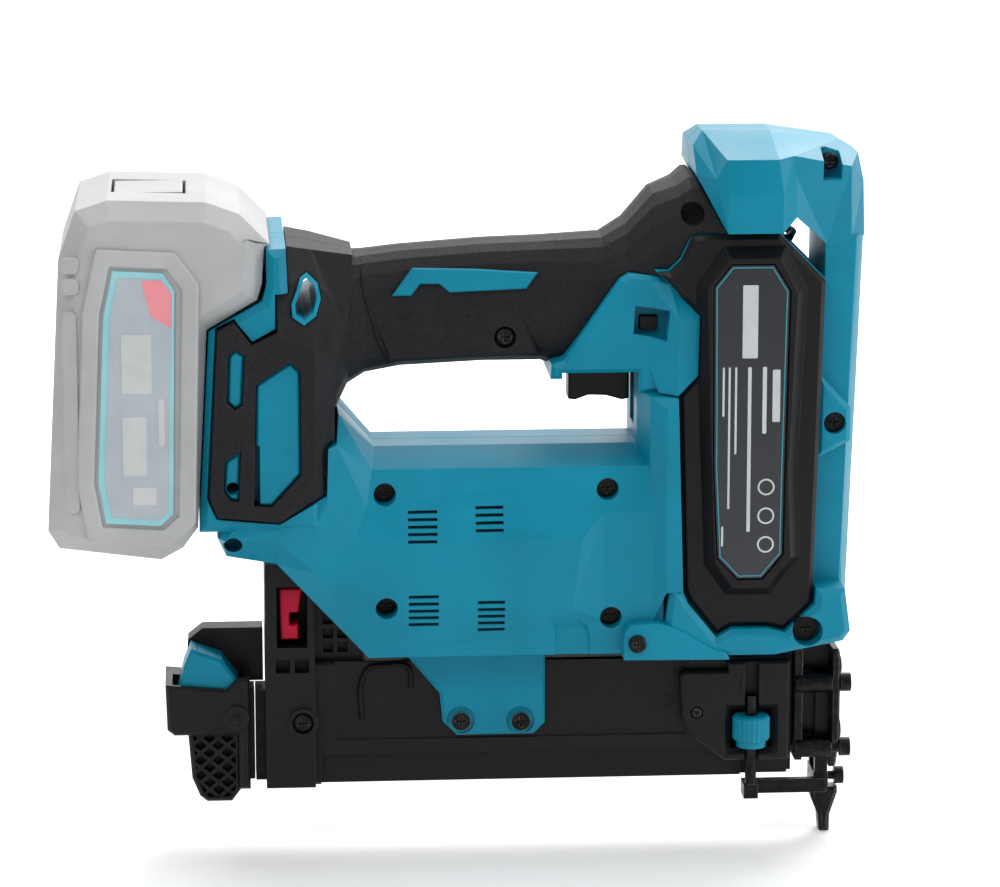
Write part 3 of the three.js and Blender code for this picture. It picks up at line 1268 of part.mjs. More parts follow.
function driverGuide() {
  const core = box([guideBack + 5, BLADE_THICKNESS / 2], [-GUIDE_CORE_HALF, GUIDE_CORE_HALF],
    [guideBottom, guideTop]);
  const back = box([guideBack, guideBack + 2.5], [-NOSE_HALF, NOSE_HALF], [guideBottom - 2, guideTop]);
  const bridge = box([guideBack, guideBack + 6], [-GUIDE_CORE_HALF, GUIDE_CORE_HALF], [guideBottom, guideTop]);
  const arms = boltRows.map((z) => box([guideBack + 1, guideBack + 6.5], [-BOLT_SPREAD, BOLT_SPREAD],
    [z - 2.5, z + 2.5]));
  const bosses = boltRows.flatMap((z) => [-1, 1].map((side) => (
    rod('x', 3.6, guideBack, BLADE_THICKNESS / 2, [side * BOLT_SPREAD, z], 20))));
  const holes = boltRows.flatMap((z) => [-1, 1].map((side) => (
    rod('x', BOLT_RADIUS + GAP / 3, guideBack - 1, 3, [side * BOLT_SPREAD, z], 16))));
  const wide = box([bladeRack - GAP, 3], [-RACK_HALF - GAP, RACK_HALF + GAP],
    [motorAxis - 6 - STROKE - 2, guideTop + 1]);
  const narrow = box([-BLADE_THICKNESS / 2 - 0.1, 3], [-BLADE_WIDTH / 2 - 0.1, BLADE_WIDTH / 2 + 0.1],
    [0, guideTop]);
  const feed = box([guideBack - 1, 0], [-FEED_HALF, FEED_HALF], [magBottom, channelTop - 2]);
  return cut(join(core, back, bridge, ...arms, ...bosses), ...holes, wide, narrow, feed);
}

function guideCover() {
  const half = NOSE_HALF + 1.5;
  const outline = [
    [-half, guideBottom + 5], [-half, guideTop - 2], [-half + 3, guideTop], [half - 3, guideTop],
    [half, guideTop - 2], [half, guideBottom + 5], [half - 8, coverBottom], [-half + 8, coverBottom],
  ];
  const body = loft('x', [
    { at: coverBack, outline }, { at: coverFront - 0.6, outline }, { at: coverFront, outline: inset(outline, 0.6) },
  ]);
  const holes = boltRows.flatMap((z) => [-1, 1].map((side) => (
    rod('x', BOLT_RADIUS + GAP / 3, 0, 5, [side * BOLT_SPREAD, z], 16))));
  const slot = box([0, 5], [-SLOT_HALF, SLOT_HALF], [0, coverBottom + 4.5]);
  return cut(body, ...holes, slot);
}

function guideBolt(side, z) {
  const axis = [side * BOLT_SPREAD, z];
  const start = coverFront + GAP;
  const head = rod('x', BOLT_HEAD, start, start + BOLT_HEAD_HEIGHT, axis, 20);
  const shank = rod('x', BOLT_RADIUS, guideBack + 1, start + 1, axis, 16);
  const socket = rod('x', 1.6, start + 1.6, start + 5, axis, 6);
  return cut(join(head, shank), socket);
}

function contactArm() {
  const x = [-4.5, BLADE_THICKNESS / 2];
  const block = box([x[0], x[1]], [-cheekOut, cheekOut], [armBlockLow, armBlockLow + 6.5]);
  const cheeks = [-1, 1].map((side) => {
    const y = side > 0 ? [cheekIn, cheekOut] : [-cheekOut, -cheekIn];
    return box([x[0] + 0.4, x[1] - 0.3], y, [armBlockLow + 5, guideTop - ARM_TRAVEL - 6]);
  });
  const lever = box([dialX - 2.5, x[1] - 1], [-leverOut, -leverIn], [armBlockLow, armBlockLow + 5]);
  const reach = box([dialX - 2.5, dialX + 2.5], [dialY - 2, -leverIn], [armBlockLow, armBlockLow + 5]);
  const stem = rod('z', 2, armBlockLow + 2, dialHigh + 6, [dialX, dialY], 16);
  const bore = box([-BLADE_THICKNESS / 2 - 0.3, 3], [-BLADE_WIDTH / 2 - 0.3, BLADE_WIDTH / 2 + 0.3],
    [0, armBlockLow + 20]);
  return cut(join(block, ...cheeks, lever, reach, stem), bore);
}

function contactTip() {
  const top = armBlockLow - GAP;
  const outline = [
    [-1.5, 0], [1.9, 0], [2.1, 6.2], [3.9, 11.5], [4.7, 14], [4.7, top], [-5.2, top], [-4.5, 12], [-2.1, 6.2],
  ];
  const body = plate(outline, -4, 4, 1.2, 1.2);
  const bore = box([-BLADE_THICKNESS / 2 - 0.2, BLADE_THICKNESS / 2 + 0.4],
    [-BLADE_WIDTH / 2 - 0.2, BLADE_WIDTH / 2 + 0.2], [-1, top + 1]);
  return cut(body, bore);
}

function tipBolt() {
  const z = armBlockLow + 3.2;
  const start = coverFront + GAP;
  const shank = rod('x', 1.5, BLADE_THICKNESS / 2 + GAP, start + 1, [0, z], 16);
  const socket = rod('x', 1.6, start + 1.4, start + 5, [0, z], 6);
  return cut(join(rod('x', BOLT_HEAD - 0.2, start, start + 3.2, [0, z], 20), shank), socket);
}

function frontBracket() {
  const rear = dialX - 25.2;
  const front = dialX + 13.3;
  const outline = [
    [rear, magTop - 6], [rear + 1.5, magTop - 4.7], [dialX - 8.5, magTop - 4.7], [dialX - 8.5, magTop - 1.5],
    [front, magTop - 1.5], [front, dialLow - 5], [dialX - 9, dialLow - 5], [dialX - 20, dialLow + 3],
    [rear + 1, dialLow + 10],
  ];
  const window = [
    [dialX - 7.2, dialLow - 0.8], [dialX + 7.2, dialLow - 0.8], [dialX + 7.2, dialHigh + 1],
    [dialX - 7.2, dialHigh + 1],
  ];
  const body = plate(outline, -BRACKET_HALF, -MAGAZINE_HALF - GAP, 0.8);
  const opening = loft('y', [
    { at: -BRACKET_HALF - 0.1, outline: inset(window, -2.2) }, { at: -BRACKET_HALF + 2.2, outline: window },
    { at: -MAGAZINE_HALF + 1, outline: window },
  ]);
  const stemSlot = box([dialX - 2.4, dialX + 2.4], [dialY - 2.4, -MAGAZINE_HALF + 1], [0, magTop - 2]);
  return cut(body, opening, stemSlot, rod('y', 2.2, -40, 0, [rear + 6, dialLow + 12.5], 16));
}

function depthDial() {
  const outline = [];
  const ribs = 22;
  for (let i = 0; i < ribs * 2; i += 1) {
    const radius = i % 2 ? DIAL_RADIUS : DIAL_RADIUS - 0.35;
    const angle = Math.PI * i / ribs;
    outline.push([dialX + radius * Math.cos(angle), dialY + radius * Math.sin(angle)]);
  }
  const wheel = loft('z', [
    { at: dialLow + 2.2, outline: inset(outline, 0.7) }, { at: dialLow + 3, outline },
    { at: dialHigh - 1.6, outline }, { at: dialHigh - 0.8, outline: inset(outline, 0.7) },
  ]);
  const neck = rod('z', DIAL_RADIUS - 1.3, dialLow, dialLow + 3, [dialX, dialY], 32);
  const bore = rod('z', 2 + GAP, dialLow - 1, dialHigh + 1, [dialX, dialY], 20);
  return cut(join(wheel, neck), bore);
}

addPiece('driver_guide', driverGuide(), BLACK_OXIDE);
addPiece('guide_cover', guideCover(), BLACK_OXIDE);
boltRows.forEach((z, row) => {
  addPiece(`guide_bolt_right_${row + 1}`, guideBolt(-1, z), BLACK_OXIDE);
  addPiece(`guide_bolt_left_${row + 1}`, guideBolt(1, z), BLACK_OXIDE);
});
addPiece('contact_arm', contactArm(), BLACK_OXIDE);
addPiece('contact_tip', contactTip(), BLACK_OXIDE);
addPiece('tip_bolt', tipBolt(), BLACK_OXIDE);
addPiece('front_bracket', frontBracket(), BLACK_NYLON);
addPiece('depth_dial', depthDial(), TEAL);

// ---------------------------------------------------------------- battery

const batteryFront = rearFace - 0.5;
const batteryLow = bodyTop - 33.5;
const batteryTop = batteryLow + 122.5;
const RAIL_HALF = 20;
const railX = batteryFront - 6;

function batteryCase() {
  const outline = [
    [batteryBack + 0.3, batteryLow + 10.5], [batteryBack + 4, batteryLow + 4.5], [batteryFront - 12.5, batteryLow],
    [batteryFront - 5, batteryLow + 4], [batteryFront + GAP / 2, batteryLow + 11], [batteryFront + 3.9, bodyTop + 45],
    [openRear - 26.6, bodyTop + 55], [openRear - 25, bodyTop + 60.5], [openRear - 24.2, gripTop + 4.8],
    [openRear - 22.3, bodyTop + 73.8],
    [openRear - 32.2, batteryTop - 5], [openRear - 43.4, batteryTop - 1], [openRear - 76, batteryTop],
    [openRear - 86.7, batteryTop - 3.5], [batteryBack + 5.5, batteryTop - 20],
  ];
  const body = plate(outline, -BATTERY_HALF, BATTERY_HALF, 6, 6);
  const rail = box([railX - 0.6, batteryFront + 2], [-RAIL_HALF - 0.6, RAIL_HALF + 0.6],
    [batteryLow - 5, bodyTop + 36]);
  const button = box([openRear - 75, openRear - 50], [-14.5, 14.5], [batteryTop - 12, batteryTop + 5]);
  return cut(body, rail, button);
}

function railBlock() {
  const body = box([railX, rearFace - GAP / 2], [-RAIL_HALF, RAIL_HALF], [bodyTop - 20, bodyTop + 35]);
  const slots = [-11, -3.7, 3.7, 11].map((y) => box([railX - 1, railX + 4], [y - 1, y + 1],
    [bodyTop - 10, bodyTop + 25]));
  return cut(body, ...slots);
}

function batteryLabel() {
  const outline = [
    [batteryBack + 23.5, batteryTop - 22.5], [batteryFront - 10.4, batteryTop - 23.4],
    [batteryFront - 6.5, batteryTop - 29.5], [batteryFront - 8, batteryLow + 17], [batteryFront - 12.4, batteryLow + 13],
    [batteryBack + 19.9, batteryLow + 14.2], [batteryBack + 17.5, batteryLow + 28], [batteryBack + 20.2, batteryTop - 37.6],
  ];
  return plate(outline, -BATTERY_HALF - 0.9, -BATTERY_HALF - GAP, 0.2);
}

addPiece('battery_rail_block', railBlock(), BLACK_NYLON);
addPiece('battery_case', batteryCase(), PALE_GREY);
addPair('battery_label', batteryLabel(), PALE_TEAL);
addPiece('battery_button', box([openRear - 74, openRear - 51], [-13.5, 13.5], [batteryTop - 7.5, batteryTop - 0.5]),
  PALE_GREY);

export default nailer;
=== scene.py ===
# Cordless brad nailer: finishes, fasteners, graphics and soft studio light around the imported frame.

import json
import math

import bmesh
import bpy
from mathutils import Matrix, Vector


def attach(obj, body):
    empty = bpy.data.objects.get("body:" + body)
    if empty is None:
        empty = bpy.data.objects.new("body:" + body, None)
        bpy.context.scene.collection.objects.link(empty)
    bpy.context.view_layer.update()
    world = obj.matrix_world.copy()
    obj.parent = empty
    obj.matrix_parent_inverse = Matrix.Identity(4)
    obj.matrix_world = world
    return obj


MM = 0.001

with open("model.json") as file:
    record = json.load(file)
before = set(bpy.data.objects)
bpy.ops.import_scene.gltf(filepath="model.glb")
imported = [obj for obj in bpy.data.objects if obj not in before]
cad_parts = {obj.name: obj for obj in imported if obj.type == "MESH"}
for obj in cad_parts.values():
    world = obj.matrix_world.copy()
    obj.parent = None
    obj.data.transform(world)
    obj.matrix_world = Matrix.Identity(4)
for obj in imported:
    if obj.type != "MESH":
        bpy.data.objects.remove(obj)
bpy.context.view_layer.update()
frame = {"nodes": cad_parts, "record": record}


# ---------------------------------------------------------------- materials

def linear(code):
    """sRGB hex to the linear colour that a shader takes."""
    def channel(i):
        c = int(code[i:i + 2], 16) / 255
        return c / 12.92 if c <= 0.04045 else ((c + 0.055) / 1.055) ** 2.4
    return (channel(0), channel(2), channel(4), 1.0)


def add(tree, kind, links=None, **values):
    """One shader node: values go to its inputs or settings, links to its inputs."""
    node = tree.nodes.new("ShaderNode" + kind)
    for name, value in values.items():
        label = name.replace("_", " ")
        if hasattr(node, name):
            setattr(node, name, value)
        else:
            node.inputs[label].default_value = value
    for name, source in (links or {}).items():
        tree.links.new(source, node.inputs[name])
    return node


def ramp(tree, source, low, high, dark=0.0, light=1.0):
    node = add(tree, "MapRange", {"Value": source})
    node.inputs["From Min"].default_value = low
    node.inputs["From Max"].default_value = high
    node.inputs["To Min"].default_value = dark
    node.inputs["To Max"].default_value = light
    return node.outputs["Result"]


def blend(tree, factor, a, b):
    """Mix of two colours; each is a socket or a colour."""
    node = add(tree, "Mix", data_type="RGBA")
    tree.links.new(factor, node.inputs["Factor"])
    for slot, value in ((6, a), (7, b)):
        if isinstance(value, bpy.types.NodeSocket):
            tree.links.new(value, node.inputs[slot])
        else:
            node.inputs[slot].default_value = value
    return node.outputs[2]


def material(name, roughness, metallic=0.0, reflection=0.5):
    mat = bpy.data.materials.new(name)
    mat.use_nodes = True
    tree = mat.node_tree
    tree.nodes.clear()
    output = tree.nodes.new("ShaderNodeOutputMaterial")
    shader = add(tree, "BsdfPrincipled", Roughness=roughness, Metallic=metallic)
    shader.inputs["Specular IOR Level"].default_value = reflection
    tree.links.new(shader.outputs[0], output.inputs["Surface"])
    place = add(tree, "TexCoord").outputs["Object"]
    return mat, tree, shader, place


def edges(tree, radius):
    """1 on a convex edge, 0 on the flat: how far a rounded normal leans from the true one."""
    rounded = add(tree, "Bevel", samples=4, Radius=radius)
    flat = add(tree, "NewGeometry")
    lean = add(tree, "VectorMath", operation="DOT_PRODUCT")
    tree.links.new(rounded.outputs[0], lean.inputs[0])
    tree.links.new(flat.outputs["Normal"], lean.inputs[1])
    return rounded.outputs[0], ramp(tree, lean.outputs["Value"], 0.995, 0.85)


def moulded(name, code, worn, roughness, grain, depth, edge=0.5 * MM):
    """Moulded plastic: spark-eroded grain, slight colour drift and paler, smoother edges."""
    mat, tree, shader, place = material(name, roughness, reflection=0.2)
    colour = linear(code)
    dark = tuple(c * 0.86 for c in colour[:3]) + (1.0,)
    drift = add(tree, "TexNoise", {"Vector": place}, Scale=1 / (30 * MM), Detail=3.0)
    speck = add(tree, "TexNoise", {"Vector": place}, Scale=1 / (grain * 1.7), Detail=2.0)
    body = blend(tree, ramp(tree, drift.outputs["Fac"], 0.35, 0.65), dark, colour)
    body = blend(tree, ramp(tree, speck.outputs["Fac"], 0.55, 0.75, 0.0, 0.12), body, linear(worn))
    rounded, edge_mask = edges(tree, edge)
    scuff = add(tree, "TexNoise", {"Vector": place}, Scale=1 / (6 * MM), Detail=4.0)
    wear = add(tree, "Math", operation="MULTIPLY")
    tree.links.new(edge_mask, wear.inputs[0])
    tree.links.new(ramp(tree, scuff.outputs["Fac"], 0.4, 0.7, 0.12, 0.6), wear.inputs[1])
    tree.links.new(blend(tree, wear.outputs[0], body, linear(worn)), shader.inputs["Base Color"])
    shine = ramp(tree, drift.outputs["Fac"], 0.3, 0.7, roughness - 0.05, roughness + 0.07)
    tree.links.new(shine, shader.inputs["Roughness"])
    bumps = add(tree, "TexNoise", {"Vector": place}, Scale=1 / grain, Detail=2.0)
    bump = add(tree, "Bump", {"Height": bumps.outputs["Fac"], "Normal": rounded}, Distance=depth)
    bump.inputs["Strength"].default_value = 0.6
    tree.links.new(bump.outputs[0], shader.inputs["Normal"])
    return mat


def rubber(name, code, worn, cell, depth):
    """Overmoulded grip: leather-like cells, with painted shade in the grooves between them that leaves the
    cell tops paler.
    """
    mat, tree, shader, place = material(name, 0.62, reflection=0.2)
    cells = add(tree, "TexVoronoi", {"Vector": place}, Scale=1 / cell, feature="DISTANCE_TO_EDGE")
    fine = add(tree, "TexNoise", {"Vector": place}, Scale=1 / (0.25 * MM), Detail=2.0)
    drift = add(tree, "TexNoise", {"Vector": place}, Scale=1 / (22 * MM), Detail=3.0)
    rounded, edge_mask = edges(tree, 0.7 * MM)
    # painted shade: the grooves between the cells keep the dark colour while the raised cell tops blend
    # towards the paler one
    body = blend(tree, ramp(tree, cells.outputs["Distance"], 0.0, 0.25), linear(code), linear(worn))
    body = blend(tree, ramp(tree, drift.outputs["Fac"], 0.35, 0.7, 0.0, 0.35), body, linear(code))
    tree.links.new(blend(tree, edge_mask, body, linear(worn)), shader.inputs["Base Color"])
    tall = add(tree, "Math", operation="MULTIPLY_ADD")
    tree.links.new(fine.outputs["Fac"], tall.inputs[0])
    tall.inputs[1].default_value = 0.25
    tree.links.new(ramp(tree, cells.outputs["Distance"], 0.0, 0.3), tall.inputs[2])
    bump = add(tree, "Bump", {"Height": tall.outputs[0], "Normal": rounded}, Distance=depth)
    bump.inputs["Strength"].default_value = 0.8
    tree.links.new(bump.outputs[0], shader.inputs["Normal"])
    return mat


def oxide(name, code, bright, roughness=0.38):
    """Blackened steel: mottled oxide, rubbed bright on its edges."""
    mat, tree, shader, place = material(name, roughness, metallic=1.0)
    mottle = add(tree, "TexNoise", {"Vector": place}, Scale=1 / (2.5 * MM), Detail=5.0)
    fine = add(tree, "TexNoise", {"Vector": place}, Scale=1 / (0.3 * MM), Detail=2.0)
    rounded, edge_mask = edges(tree, 0.35 * MM)
    lighter = tuple(min(1.0, c * 1.9) for c in linear(code)[:3]) + (1.0,)
    body = blend(tree, ramp(tree, mottle.outputs["Fac"], 0.35, 0.7), linear(code), lighter)
    worn = add(tree, "Math", operation="MULTIPLY")
    tree.links.new(edge_mask, worn.inputs[0])
    tree.links.new(ramp(tree, mottle.outputs["Fac"], 0.35, 0.6, 0.2, 0.9), worn.inputs[1])
    tree.links.new(blend(tree, worn.outputs[0], body, linear(bright)), shader.inputs["Base Color"])
    shine = ramp(tree, mottle.outputs["Fac"], 0.3, 0.7, roughness - 0.08, roughness + 0.12)
    tree.links.new(shine, shader.inputs["Roughness"])
    bump = add(tree, "Bump", {"Height": fine.outputs["Fac"], "Normal": rounded}, Distance=0.02 * MM)
    bump.inputs["Strength"].default_value = 0.5
    tree.links.new(bump.outputs[0], shader.inputs["Normal"])
    return mat


def drawn(name, code, roughness, scale=(1.0, 1.0, 14.0)):
    """Ground or drawn metal: fine lines along one axis."""
    mat, tree, shader, place = material(name, roughness, metallic=1.0)
    stretch = add(tree, "Mapping", {"Vector": place})
    stretch.inputs["Scale"].default_value = scale
    lines = add(tree, "TexNoise", {"Vector": stretch.outputs[0]}, Scale=1 / (2 * MM), Detail=3.0)
    darker = tuple(c * 0.7 for c in linear(code)[:3]) + (1.0,)
    body = blend(tree, ramp(tree, lines.outputs["Fac"], 0.3, 0.7), darker, linear(code))
    tree.links.new(body, shader.inputs["Base Color"])
    shine = ramp(tree, lines.outputs["Fac"], 0.3, 0.7, roughness - 0.06, roughness + 0.1)
    tree.links.new(shine, shader.inputs["Roughness"])
    bump = add(tree, "Bump", {"Height": lines.outputs["Fac"]}, Distance=0.01 * MM)
    tree.links.new(bump.outputs[0], shader.inputs["Normal"])
    return mat


def printed(name, code, roughness, coat=0.0, haze=0.10):
    """Printed film: even ink under a smooth face, with faint handling haze."""
    mat, tree, shader, place = material(name, roughness)
    colour = linear(code)
    haze_map = add(tree, "TexNoise", {"Vector": place}, Scale=1 / (12 * MM), Detail=4.0)
    darker = tuple(c * 0.9 for c in colour[:3]) + (1.0,)
    body = blend(tree, ramp(tree, haze_map.outputs["Fac"], 0.35, 0.65), darker, colour)
    tree.links.new(body, shader.inputs["Base Color"])
    shine = ramp(tree, haze_map.outputs["Fac"], 0.3, 0.75, roughness, roughness + haze)
    tree.links.new(shine, shader.inputs["Roughness"])
    shader.inputs["Coat Weight"].default_value = coat
    return mat


def clear_lens(name):
    mat, tree, shader, place = material(name, 0.2)
    frost = add(tree, "TexNoise", {"Vector": place}, Scale=1 / (0.5 * MM), Detail=2.0)
    tint = blend(tree, frost.outputs["Fac"], linear("B9BBB8"), linear("D6D8D4"))
    tree.links.new(tint, shader.inputs["Base Color"])
    shader.inputs["Transmission Weight"].default_value = 0.35
    return mat


LOOKS = {
    # teal glass-filled nylon with a fine spark finish
    "teal_nylon": moulded("teal_nylon", "007D98", "1AA3BA", 0.42, 0.28 * MM, 0.02 * MM),
    # black glass-filled nylon
    "black_nylon": moulded("black_nylon", "0F0F11", "434347", 0.42, 0.3 * MM, 0.03 * MM),
    # overmoulded thermoplastic rubber
    "grip_rubber": rubber("grip_rubber", "0E0E10", "242427", 0.75 * MM, 0.09 * MM),
    # gloss film on the tower plates
    "plate_film": printed("plate_film", "0C121A", 0.2, coat=0.15),
    # oxide-blackened steel of the nose and its fasteners
    "black_steel": oxide("black_steel", "1D1C1C", "8C8985"),
    # ground steel inside the magazine
    "steel": drawn("steel", "A9ABAE", 0.3),
    # spring wire
    "spring_steel": drawn("spring_steel", "7E8085", 0.34, (14.0, 1.0, 1.0)),
    # varnished copper windings
    "motor_windings": drawn("motor_windings", "A8653A", 0.4, (1.0, 14.0, 1.0)),
    # red rubber of the spare tip
    "red_rubber": moulded("red_rubber", "C20C34", "E2506E", 0.45, 0.4 * MM, 0.01 * MM),
    # pale battery shell
    "battery_grey": moulded("battery_grey", "ABACAD", "CDCECF", 0.5, 0.35 * MM, 0.02 * MM, 1.2 * MM),
    # printed film of the battery
    "label_teal": printed("label_teal", "8CC3CC", 0.35),
    # solder mask of the control board
    "board_green": printed("board_green", "1F5A3C", 0.4),
    # frosted lens of the work light
    "clear_lens": clear_lens("clear_lens"),
}

slots = {part["node"]: part["material_slot"] for part in frame["record"]["subparts"]}


def soften(obj, width):
    """Welds the frame's facets, clears flat ones and rounds the edges that are left."""
    weld = obj.modifiers.new("weld", "WELD")
    weld.merge_threshold = 0.002 * MM
    flat = obj.modifiers.new("flat", "DECIMATE")
    flat.decimate_type = "DISSOLVE"
    flat.angle_limit = math.radians(0.8)
    round_off = obj.modifiers.new("round_off", "BEVEL")
    round_off.width = width
    round_off.segments = 2
    round_off.limit_method = "ANGLE"
    round_off.angle_limit = math.radians(12)
    round_off.use_clamp_overlap = True
    round_off.harden_normals = True


SOFT_EDGES = {"housing": 0.7, "tower_cover": 0.5, "end_cap": 0.4, "latch_lever": 0.4,
              "magazine_frame": 0.35, "front_bracket": 0.35, "trigger": 0.4}

for name, obj in frame["nodes"].items():
    obj.data.materials.clear()
    obj.data.materials.append(LOOKS[slots[name]])
    for start, width in SOFT_EDGES.items():
        if name == start or name in (start + "_right", start + "_left"):
            soften(obj, width * MM)


# ---------------------------------------------------------------- piece making

def piece(name, data, slot, body="frame", look=None):
    obj = bpy.data.objects.new(name, data)
    bpy.context.scene.collection.objects.link(obj)
    data.materials.append(look or LOOKS[slot])
    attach(obj, body)
    return obj


CIRCLE_SIDES = 24
HEAD_SIDES = 32
HEAD_HEIGHT = 1.95  # screw head, from its seat to its flat top
HEAD_WALL = 1.2  # height of the head's straight side
CROSS_FLOOR = 0.7  # the cross recess ends this far above the seat


def prism_mesh(name, loops, y_low, y_high):
    """Solid between two Y stations: the first loop is its outline in X and Z, the others are holes."""
    bm = bmesh.new()
    low_edges, high_edges = [], []
    for loop in loops:
        low = [bm.verts.new((x * MM, y_low * MM, z * MM)) for x, z in loop]
        high = [bm.verts.new((x * MM, y_high * MM, z * MM)) for x, z in loop]
        for i in range(len(loop)):
            j = (i + 1) % len(loop)
            low_edges.append(bm.edges.new((low[i], low[j])))
            high_edges.append(bm.edges.new((high[i], high[j])))
            bm.faces.new((low[i], low[j], high[j], high[i]))
    for edges_of_face in (low_edges, high_edges):
        bmesh.ops.triangle_fill(bm, use_beauty=True, edges=edges_of_face)
    bmesh.ops.recalc_face_normals(bm, faces=bm.faces)
    mesh = bpy.data.meshes.new(name)
    bm.to_mesh(mesh)
    bm.free()
    return mesh


def prism(name, loops, y_low, y_high, slot, body="frame", edge=0.0, look=None):
    obj = piece(name, prism_mesh(name, loops, y_low, y_high), slot, body, look)
    if edge:
        flat = obj.modifiers.new("flat", "DECIMATE")
        flat.decimate_type = "DISSOLVE"
        flat.angle_limit = math.radians(0.5)
        round_off = obj.modifiers.new("round_off", "BEVEL")
        round_off.width = edge * MM
        round_off.segments = 3
        round_off.limit_method = "ANGLE"
        round_off.harden_normals = True


def both_sides(name, loops, y_low, y_high, slot, body="frame", edge=0.0, look=None):
    prism(name + "_right", loops, y_low, y_high, slot, body, edge, look)
    prism(name + "_left", loops, -y_high, -y_low, slot, body, edge, look)


def inset(outline, distance):
    """Outline moved inwards by a distance, with mitred corners."""
    area = sum(a[0] * b[1] - b[0] * a[1] for a, b in zip(outline, outline[1:] + outline[:1]))
    side = 1 if area > 0 else -1
    moved = []
    for i, point in enumerate(outline):
        p, a, b = Vector(point), Vector(outline[i - 1]), Vector(outline[(i + 1) % len(outline)])
        before, after = (p - a).normalized(), (b - p).normalized()
        normal = Vector((-(before.y + after.y), before.x + after.x)).normalized()
        reach = max(0.35, -normal.x * before.y + normal.y * before.x)
        moved.append(tuple(p + normal * (side * distance / reach)))
    return moved


def rectangle(x0, x1, z0, z1, corner):
    """Rectangle with its corners cut at 45 degrees."""
    c = corner
    return [
        (x0 + c, z0), (x1 - c, z0), (x1, z0 + c), (x1, z1 - c),
        (x1 - c, z1), (x0 + c, z1), (x0, z1 - c), (x0, z0 + c),
    ]


def circle(x, z, radius):
    turn = 2 * math.pi / CIRCLE_SIDES
    return [(x + radius * math.cos(i * turn), z + radius * math.sin(i * turn)) for i in range(CIRCLE_SIDES)]


def screw_head(name, x, z, seat, radius, side=-1):
    """Domed cross-recess screw head: its seat faces inwards at Y = side * seat."""
    bm = bmesh.new()
    rings = [
        (radius, 0.0), (radius, HEAD_WALL),
        (radius * 0.9, HEAD_WALL + 0.5), (radius * 0.72, HEAD_HEIGHT),
    ]
    turn = 2 * math.pi / HEAD_SIDES

    def ring(r, h):
        return [bm.verts.new((r * math.cos(turn * i), r * math.sin(turn * i), h)) for i in range(HEAD_SIDES)]

    levels = [ring(r, h) for r, h in rings]
    for low, high in zip(levels, levels[1:]):
        for i in range(HEAD_SIDES):
            j = (i + 1) % HEAD_SIDES
            bm.faces.new((low[i], low[j], high[j], high[i]))
    bm.faces.new(levels[0])
    a, b = radius * 0.58, radius * 0.13
    cross = [
        (a, b), (b, b), (b, a), (-b, a), (-b, b), (-a, b),
        (-a, -b), (-b, -b), (-b, -a), (b, -a), (b, -b), (a, -b),
    ]
    top = [bm.verts.new((u, v, HEAD_HEIGHT)) for u, v in cross]
    floor = [bm.verts.new((u * 0.85, v * 0.85, CROSS_FLOOR)) for u, v in cross]
    corners = len(cross)
    edges_of_top = [bm.edges.new((top[i], top[(i + 1) % corners])) for i in range(corners)]
    for i in range(corners):
        j = (i + 1) % corners
        bm.faces.new((top[i], top[j], floor[j], floor[i]))
    bm.faces.new(floor)
    last = levels[-1]
    rim = [bm.edges.get((last[i], last[(i + 1) % HEAD_SIDES])) for i in range(HEAD_SIDES)]
    bmesh.ops.triangle_fill(bm, use_beauty=True, edges=edges_of_top + rim)
    bmesh.ops.recalc_face_normals(bm, faces=bm.faces)
    place = Matrix.Translation((x * MM, side * seat * MM, z * MM))
    lay = place @ Matrix.Rotation(math.pi / 2 * -side, 4, "X")
    bmesh.ops.transform(bm, matrix=lay @ Matrix.Scale(MM, 4), verts=bm.verts)
    mesh = bpy.data.meshes.new(name)
    bm.to_mesh(mesh)
    bm.free()
    piece(name, mesh, "black_steel")


def wire(name, points, radius, slot, look=None):
    """Round wire or bead through points given in millimetres."""
    data = bpy.data.curves.new(name, "CURVE")
    data.dimensions = "3D"
    spline = data.splines.new("BEZIER")
    spline.bezier_points.add(len(points) - 1)
    for knot, place in zip(spline.bezier_points, points):
        knot.co = Vector(place) * MM
        knot.handle_left_type = knot.handle_right_type = "AUTO"
    spline.resolution_u = 6
    data.bevel_depth = radius * MM
    data.bevel_resolution = 2
    data.use_fill_caps = True
    piece(name, data, slot, look=look)


def on_surface(node, x, z, lift):
    """The point of a node's right-hand face at X and Z, in millimetres, or None beside the node."""
    start = Vector((x * MM, -0.1, z * MM))
    hit, place, _, _ = frame["nodes"][node].ray_cast(start, Vector((0, 1, 0)))
    return (x, place.y / MM - lift, z) if hit else None


# ---------------------------------------------------------------- covers, fasteners and graphics

# depths along Y, in millimetres, of the right-hand faces that the trim lies on
COVER_FACE = -34.1
PLATE_INK = (-34.15, -34.06)
BRACKET_FACE = -16.0
MAGAZINE_FACE = -11.9
CASE_FACE = -39.2  # the trim of the battery's side is rooted here
FILM_FACE = (-40.55, -40.3)
FILM_INK = (-40.65, -40.5)

INK = printed("pale_ink", "B9BDBE", 0.4)
TEAL_LINE = printed("teal_line", "1E8FA3", 0.3)
PANEL_GREY = printed("slate_panel", "A4ADB3", 0.4)
RED_CHIP = printed("faded_red", "DE8790", 0.4)
SEAM = moulded("seam_black", "0B0B0C", "242427", 0.7, 0.3 * MM, 0.01 * MM)


